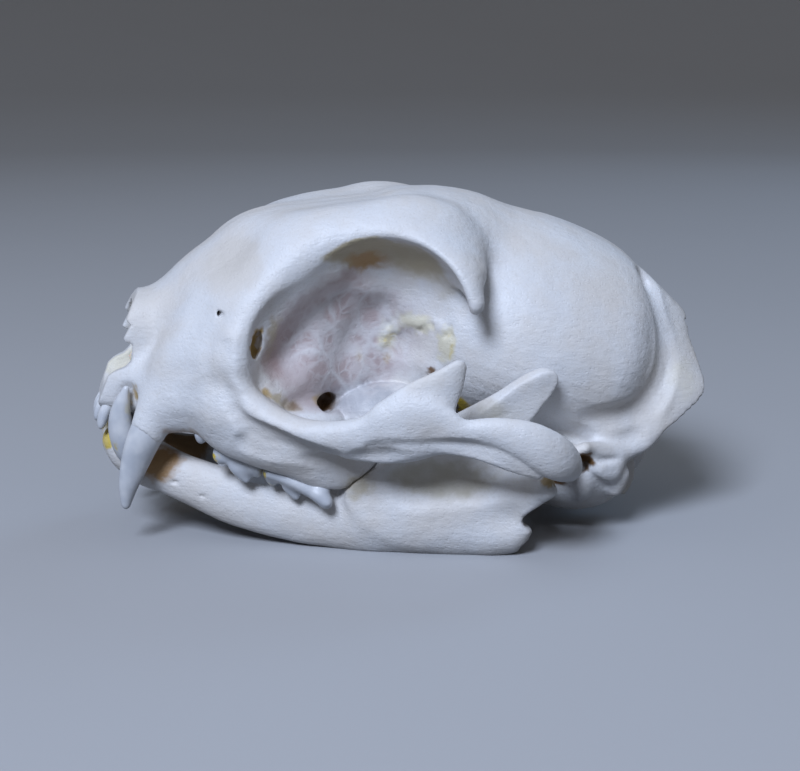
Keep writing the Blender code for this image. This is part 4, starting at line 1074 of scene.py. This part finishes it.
def studio_floor(material):
    """A wide round floor that curves up gently all round, with no edge in sight."""
    shape = bmesh.new()
    line = [shape.verts.new((r, 0, z)) for r, z in FLOOR_PROFILE]
    edges = [shape.edges.new(pair) for pair in zip(line, line[1:])]
    bmesh.ops.spin(shape, geom=line + edges, axis=(0, 0, 1), cent=(0, 0, 0), angle=2 * math.pi,
                   steps=96, use_merge=True)
    bmesh.ops.remove_doubles(shape, verts=shape.verts, dist=1e-5)
    bmesh.ops.recalc_face_normals(shape, faces=shape.faces)
    if max(shape.faces, key=lambda f: f.calc_area()).normal.z < 0:
        bmesh.ops.reverse_faces(shape, faces=shape.faces)
    mesh = bpy.data.meshes.new("studio_floor")
    shape.to_mesh(mesh)
    shape.free()
    mesh.shade_smooth()
    mesh.materials.append(material)
    piece = bpy.data.objects.new("studio_floor", mesh)
    bpy.context.scene.collection.objects.link(piece)
    return piece


def soft_light(name, place, aim, size, power, colour):
    """A square softbox at a place, turned to what it lights."""
    lamp = bpy.data.lights.new(name, "AREA")
    lamp.shape = "SQUARE"
    lamp.size = size
    lamp.energy = power
    lamp.color = colour
    holder = bpy.data.objects.new(name, lamp)
    holder.location = place
    holder.rotation_euler = (Vector(aim) - Vector(place)).to_track_quat("-Z", "Y").to_euler()
    bpy.context.scene.collection.objects.link(holder)


def set_camera(studio):
    """The camera where the photograph was taken from."""
    aim = Vector(studio.aim)
    turn, lift = studio.turn, studio.lift
    back = Vector((math.sin(turn) * math.cos(lift), -math.cos(turn) * math.cos(lift), math.sin(lift)))
    lens = bpy.data.cameras.new("camera")
    lens.sensor_width = 36.0
    lens.lens = studio.lens
    lens.clip_start = 0.01
    camera = bpy.data.objects.new("camera", lens)
    camera.location = aim + back * studio.distance
    camera.rotation_euler = (-back).to_track_quat("-Z", "Y").to_euler()
    bpy.context.scene.collection.objects.link(camera)
    bpy.context.scene.camera = camera


# ---------------------------------------------------------------- add-on

def paint(name, thing, colour):
    """A colour that a user can change."""
    return bpy.props.FloatVectorProperty(
        name=name, description=f"Colour of {thing}", subtype="COLOR", size=3, default=colour)


def length(name, description, default, least):
    """A small length that a user can change."""
    return bpy.props.FloatProperty(
        name=name, description=description, default=default, min=least, unit="LENGTH", precision=5)


class SkullSizes(bpy.types.PropertyGroup):
    """How finely the skull is modelled and how much it is worn."""
    bone_cell: length("Bone Cell", "Size of the clay's cells for the skull and jaw", 0.0003, 0.0002)
    tooth_cell: length("Tooth Cell", "Size of the clay's cells for teeth and for the bone inside the nose",
                       0.00018, 0.0001)
    wear: length("Wear", "How far the surface of the bone wanders", 0.0001, 0.0)


class SkullLook(bpy.types.PropertyGroup):
    """Colours of the bone, its stains and painted shade, the teeth and the floor."""
    bone: paint("Bone", "clean thick bone", (0.8, 0.81, 0.83))
    warm: paint("Warm Bone", "the warmer clouds in the bone", (0.76, 0.73, 0.7))
    thin: paint("Thin Bone", "bone that light shines through", (0.66, 0.62, 0.56))
    rose: paint("Rose Bone", "the thin walls of the orbits", (0.51, 0.42, 0.42))
    dull: paint("Dull Bone", "the greyish bone on the floor of the orbits", (0.43, 0.45, 0.49))
    rust: paint("Rust Bone", "the windows in the walls of the orbits", (0.44, 0.3, 0.28))
    cream: paint("Cream Bone", "the creamy bone in the nose and round the nerve holes", (0.74, 0.7, 0.56))
    # Tan is also the painted shade in the bone's hollows.
    tan: paint("Tan Stain and Shade", "the pale brown stains, and the painted shade in the bone's hollows", (0.52, 0.45, 0.31))
    # Amber is also the painted shade in the gap by the jaw joint.
    amber: paint("Amber Stain and Shade", "the golden stains in seams and corners, and the painted shade in the gap by the jaw joint", (0.5, 0.34, 0.12))
    orange: paint("Orange Stain", "the orange stain under the brow", (0.48, 0.29, 0.12))
    gold: paint("Gold Stain", "the yellow stains", (0.7, 0.52, 0.06))
    # Umber is painted shade: in holes, gaps, creases and pits.
    umber: paint("Umber Shade", "the painted shade in holes, gaps, creases and pits", (0.16, 0.08, 0.025))
    # Brown is painted shade inside the mouth and the painted shadow of the upper canine on the jaw.
    brown: paint("Brown Shade", "the painted shade inside the mouth and the painted shadow of the upper canine on the jaw", (0.42, 0.25, 0.11))
    # Grey shade is painted shade in the jaw's hollow and under the coronoid's ridge, partly dull thin bone.
    shade: paint("Grey Shade", "the painted shade in the jaw's hollow and under the coronoid's ridge, partly dull thin bone", (0.5, 0.46, 0.36))
    enamel: paint("Enamel", "the teeth", (0.54, 0.57, 0.62))
    floor: paint("Floor", "the studio floor", (0.5, 0.51, 0.53))


class SkullStudio(bpy.types.PropertyGroup):
    """Where the camera stands and how strong the lights are."""
    turn: bpy.props.FloatProperty(
        name="Turn", description="Camera's angle round the skull from its front",
        default=math.radians(79.2), subtype="ANGLE")
    lift: bpy.props.FloatProperty(
        name="Lift", description="Camera's angle above the floor",
        default=math.radians(12.6), subtype="ANGLE")
    distance: bpy.props.FloatProperty(
        name="Distance", description="From the camera to the point it looks at",
        default=0.23, unit="LENGTH")
    aim: bpy.props.FloatVectorProperty(
        name="Aim", description="The point that the camera looks at", size=3,
        default=(0.0, 0.00116, 0.01991), subtype="TRANSLATION", unit="LENGTH")
    lens: bpy.props.FloatProperty(
        name="Lens", description="Focal length of the camera", default=67.2, unit="CAMERA")
    light: bpy.props.FloatProperty(
        name="Light", description="Strength of all the lights together", default=1.0, min=0.0)


def cell_of(size):
    return size / MM * 1


@functools.lru_cache(maxsize=None)
def lump_of(build, size):
    """A lump of clay by its builder, made once for each size of cell."""
    return build(cell_of(size))


def add_pair(name, points, faces, finish, slot, nodes=False):
    """The left piece of a pair and its mirror image, each worn in its own way."""
    sizes = bpy.context.scene.skull_sizes
    material = finish_named(finish)
    pair = []
    for side, places, corners in both_sides(points, faces):
        worn = weather(places, sizes.wear / MM, *WANDER[side])
        own = f"{name}_{side}"
        label, replaced = (f"bone_{own}", (own,)) if nodes else (own, ())
        pair.append(add_piece(label, worn, corners, material, slot, replaced))
    return pair


class SKULL_OT_cranium(bpy.types.Operator):
    """Upper skull with its brain case, snout, cheek arches and ear capsules"""
    bl_idname = "skull.cranium"
    bl_label = "Cranium"

    def execute(self, context):
        sizes = context.scene.skull_sizes
        clay = lump_of(cranium, sizes.bone_cell)
        clay.keep_off(lump_of(jaw, sizes.bone_cell), JAW_GAP)
        points, faces = clay.skin()
        points = weather(points, sizes.wear / MM, *WANDER["middle"])
        nodes = ["face", "braincase"] + [f"{n}_{s}" for n in ("zygomatic_arch", "auditory_bulla")
                                         for s in ("left", "right")]
        piece = add_piece("cranium", points, faces, finish_named("skull_bone"), "bone", nodes)
        mark_bone(piece, clay)
        return {"FINISHED"}


class SKULL_OT_mandible(bpy.types.Operator):
    """The two halves of the lower jaw"""
    bl_idname = "skull.mandible"
    bl_label = "Mandible"

    def execute(self, context):
        clay = lump_of(jaw, context.scene.skull_sizes.bone_cell)
        for piece in add_pair("mandible", *clay.skin(False), "skull_bone", "bone", True):
            mark_bone(piece, clay)
        return {"FINISHED"}


class SKULL_OT_canines(bpy.types.Operator):
    """The four canines"""
    bl_idname = "skull.canines"
    bl_label = "Canines"

    def execute(self, context):
        for name, form in (("upper_canine", upper_canine()), ("lower_canine", lower_canine())):
            for piece in add_pair(name, *form_skin(form), "skull_enamel", "enamel", True):
                stain_and_shade(piece, TOOTH_PATCHES)
        return {"FINISHED"}


class SKULL_OT_incisors(bpy.types.Operator):
    """The small front teeth, six above and six below"""
    bl_idname = "skull.incisors"
    bl_label = "Incisors"

    def execute(self, context):
        for row, teeth in (("upper_incisor", UPPER_INCISORS), ("lower_incisor", LOWER_INCISORS)):
            for number, tooth in enumerate(teeth, 1):
                skin = form_skin(incisor(*tooth))
                for piece in add_pair(f"{row}_{number}", *skin, "skull_enamel", "enamel"):
                    stain_and_shade(piece, TOOTH_PATCHES)
        return {"FINISHED"}


class SKULL_OT_cheek_teeth(bpy.types.Operator):
    """The cutting teeth behind the canines"""
    bl_idname = "skull.cheek_teeth"
    bl_label = "Cheek Teeth"

    def execute(self, context):
        for build in (upper_premolar_2, upper_premolar_3, upper_premolar_4,
                      lower_premolar_3, lower_premolar_4, lower_molar):
            clay = Clay(CHEEK_BOX, cell_of(context.scene.skull_sizes.tooth_cell))
            build(clay)
            for piece in add_pair(build.__name__, *clay.skin(False), "skull_enamel", "enamel"):
                stain_and_shade(piece, TOOTH_PATCHES)
        return {"FINISHED"}


class SKULL_OT_nose(bpy.types.Operator):
    """The rolled bones and the septum inside the nose"""
    bl_idname = "skull.nose"
    bl_label = "Inside of the Nose"

    def execute(self, context):
        size = cell_of(context.scene.skull_sizes.tooth_cell)
        scrolls, septum = Clay(NOSE_BOX, size), Clay(NOSE_BOX, size)
        nose_scrolls(scrolls)
        nose_septum(septum)
        add_pair("nose_scrolls", *scrolls.skin(False), "scroll_bone", "bone")
        add_piece("nose_septum", *septum.skin(), finish_named("scroll_bone"), "bone")
        return {"FINISHED"}


class SKULL_OT_studio(bpy.types.Operator):
    """Floor, soft lights and camera"""
    bl_idname = "skull.studio"
    bl_label = "Studio"

    def execute(self, context):
        scene = context.scene
        look, studio = scene.skull_look, scene.skull_studio
        studio_floor(floor_material(look))
        for name, place, size, power, colour in LIGHTS:
            soft_light(name, place, studio.aim, size, power * studio.light, colour)
        world = bpy.data.worlds.new("studio")
        world.use_nodes = True
        tree = world.node_tree
        seen = new_node(tree, "LightPath").outputs["Is Camera Ray"]
        room = tint(tree, seen, ROOM_LIGHT, ROOM_SEEN)
        tree.links.new(room, tree.nodes["Background"].inputs["Color"])
        scene.world = world
        scene.view_settings.view_transform = "Standard"
        set_camera(studio)
        return {"FINISHED"}


class SKULL_PT_parts(bpy.types.Panel):
    """Lists the pieces of the skull and its studio"""
    bl_label = "Cat Skull"
    bl_idname = "SKULL_PT_parts"
    bl_space_type = "VIEW_3D"
    bl_region_type = "UI"
    bl_category = "Skull"

    def draw(self, context):
        for group in (context.scene.skull_sizes, context.scene.skull_look, context.scene.skull_studio):
            box = self.layout.box()
            for name in group.__annotations__:
                box.prop(group, name)
        for operator in OPERATORS:
            self.layout.operator(operator.bl_idname)


OPERATORS = (SKULL_OT_cranium, SKULL_OT_mandible, SKULL_OT_canines, SKULL_OT_incisors,
             SKULL_OT_cheek_teeth, SKULL_OT_nose, SKULL_OT_studio)
GROUPS = {"skull_sizes": SkullSizes, "skull_look": SkullLook, "skull_studio": SkullStudio}


def register():
    for item in (*GROUPS.values(), *OPERATORS, SKULL_PT_parts):
        bpy.utils.register_class(item)
    for name, group in GROUPS.items():
        setattr(bpy.types.Scene, name, bpy.props.PointerProperty(type=group))


def unregister():
    for name in GROUPS:
        delattr(bpy.types.Scene, name)
    for item in (SKULL_PT_parts, *reversed(OPERATORS), *reversed(GROUPS.values())):
        bpy.utils.unregister_class(item)


def main():
    """Builds everything in order."""
    register()
    for operator in OPERATORS:
        area, name = operator.bl_idname.split(".")
        getattr(getattr(bpy.ops, area), name)()


if __name__ == "__main__":
    main()
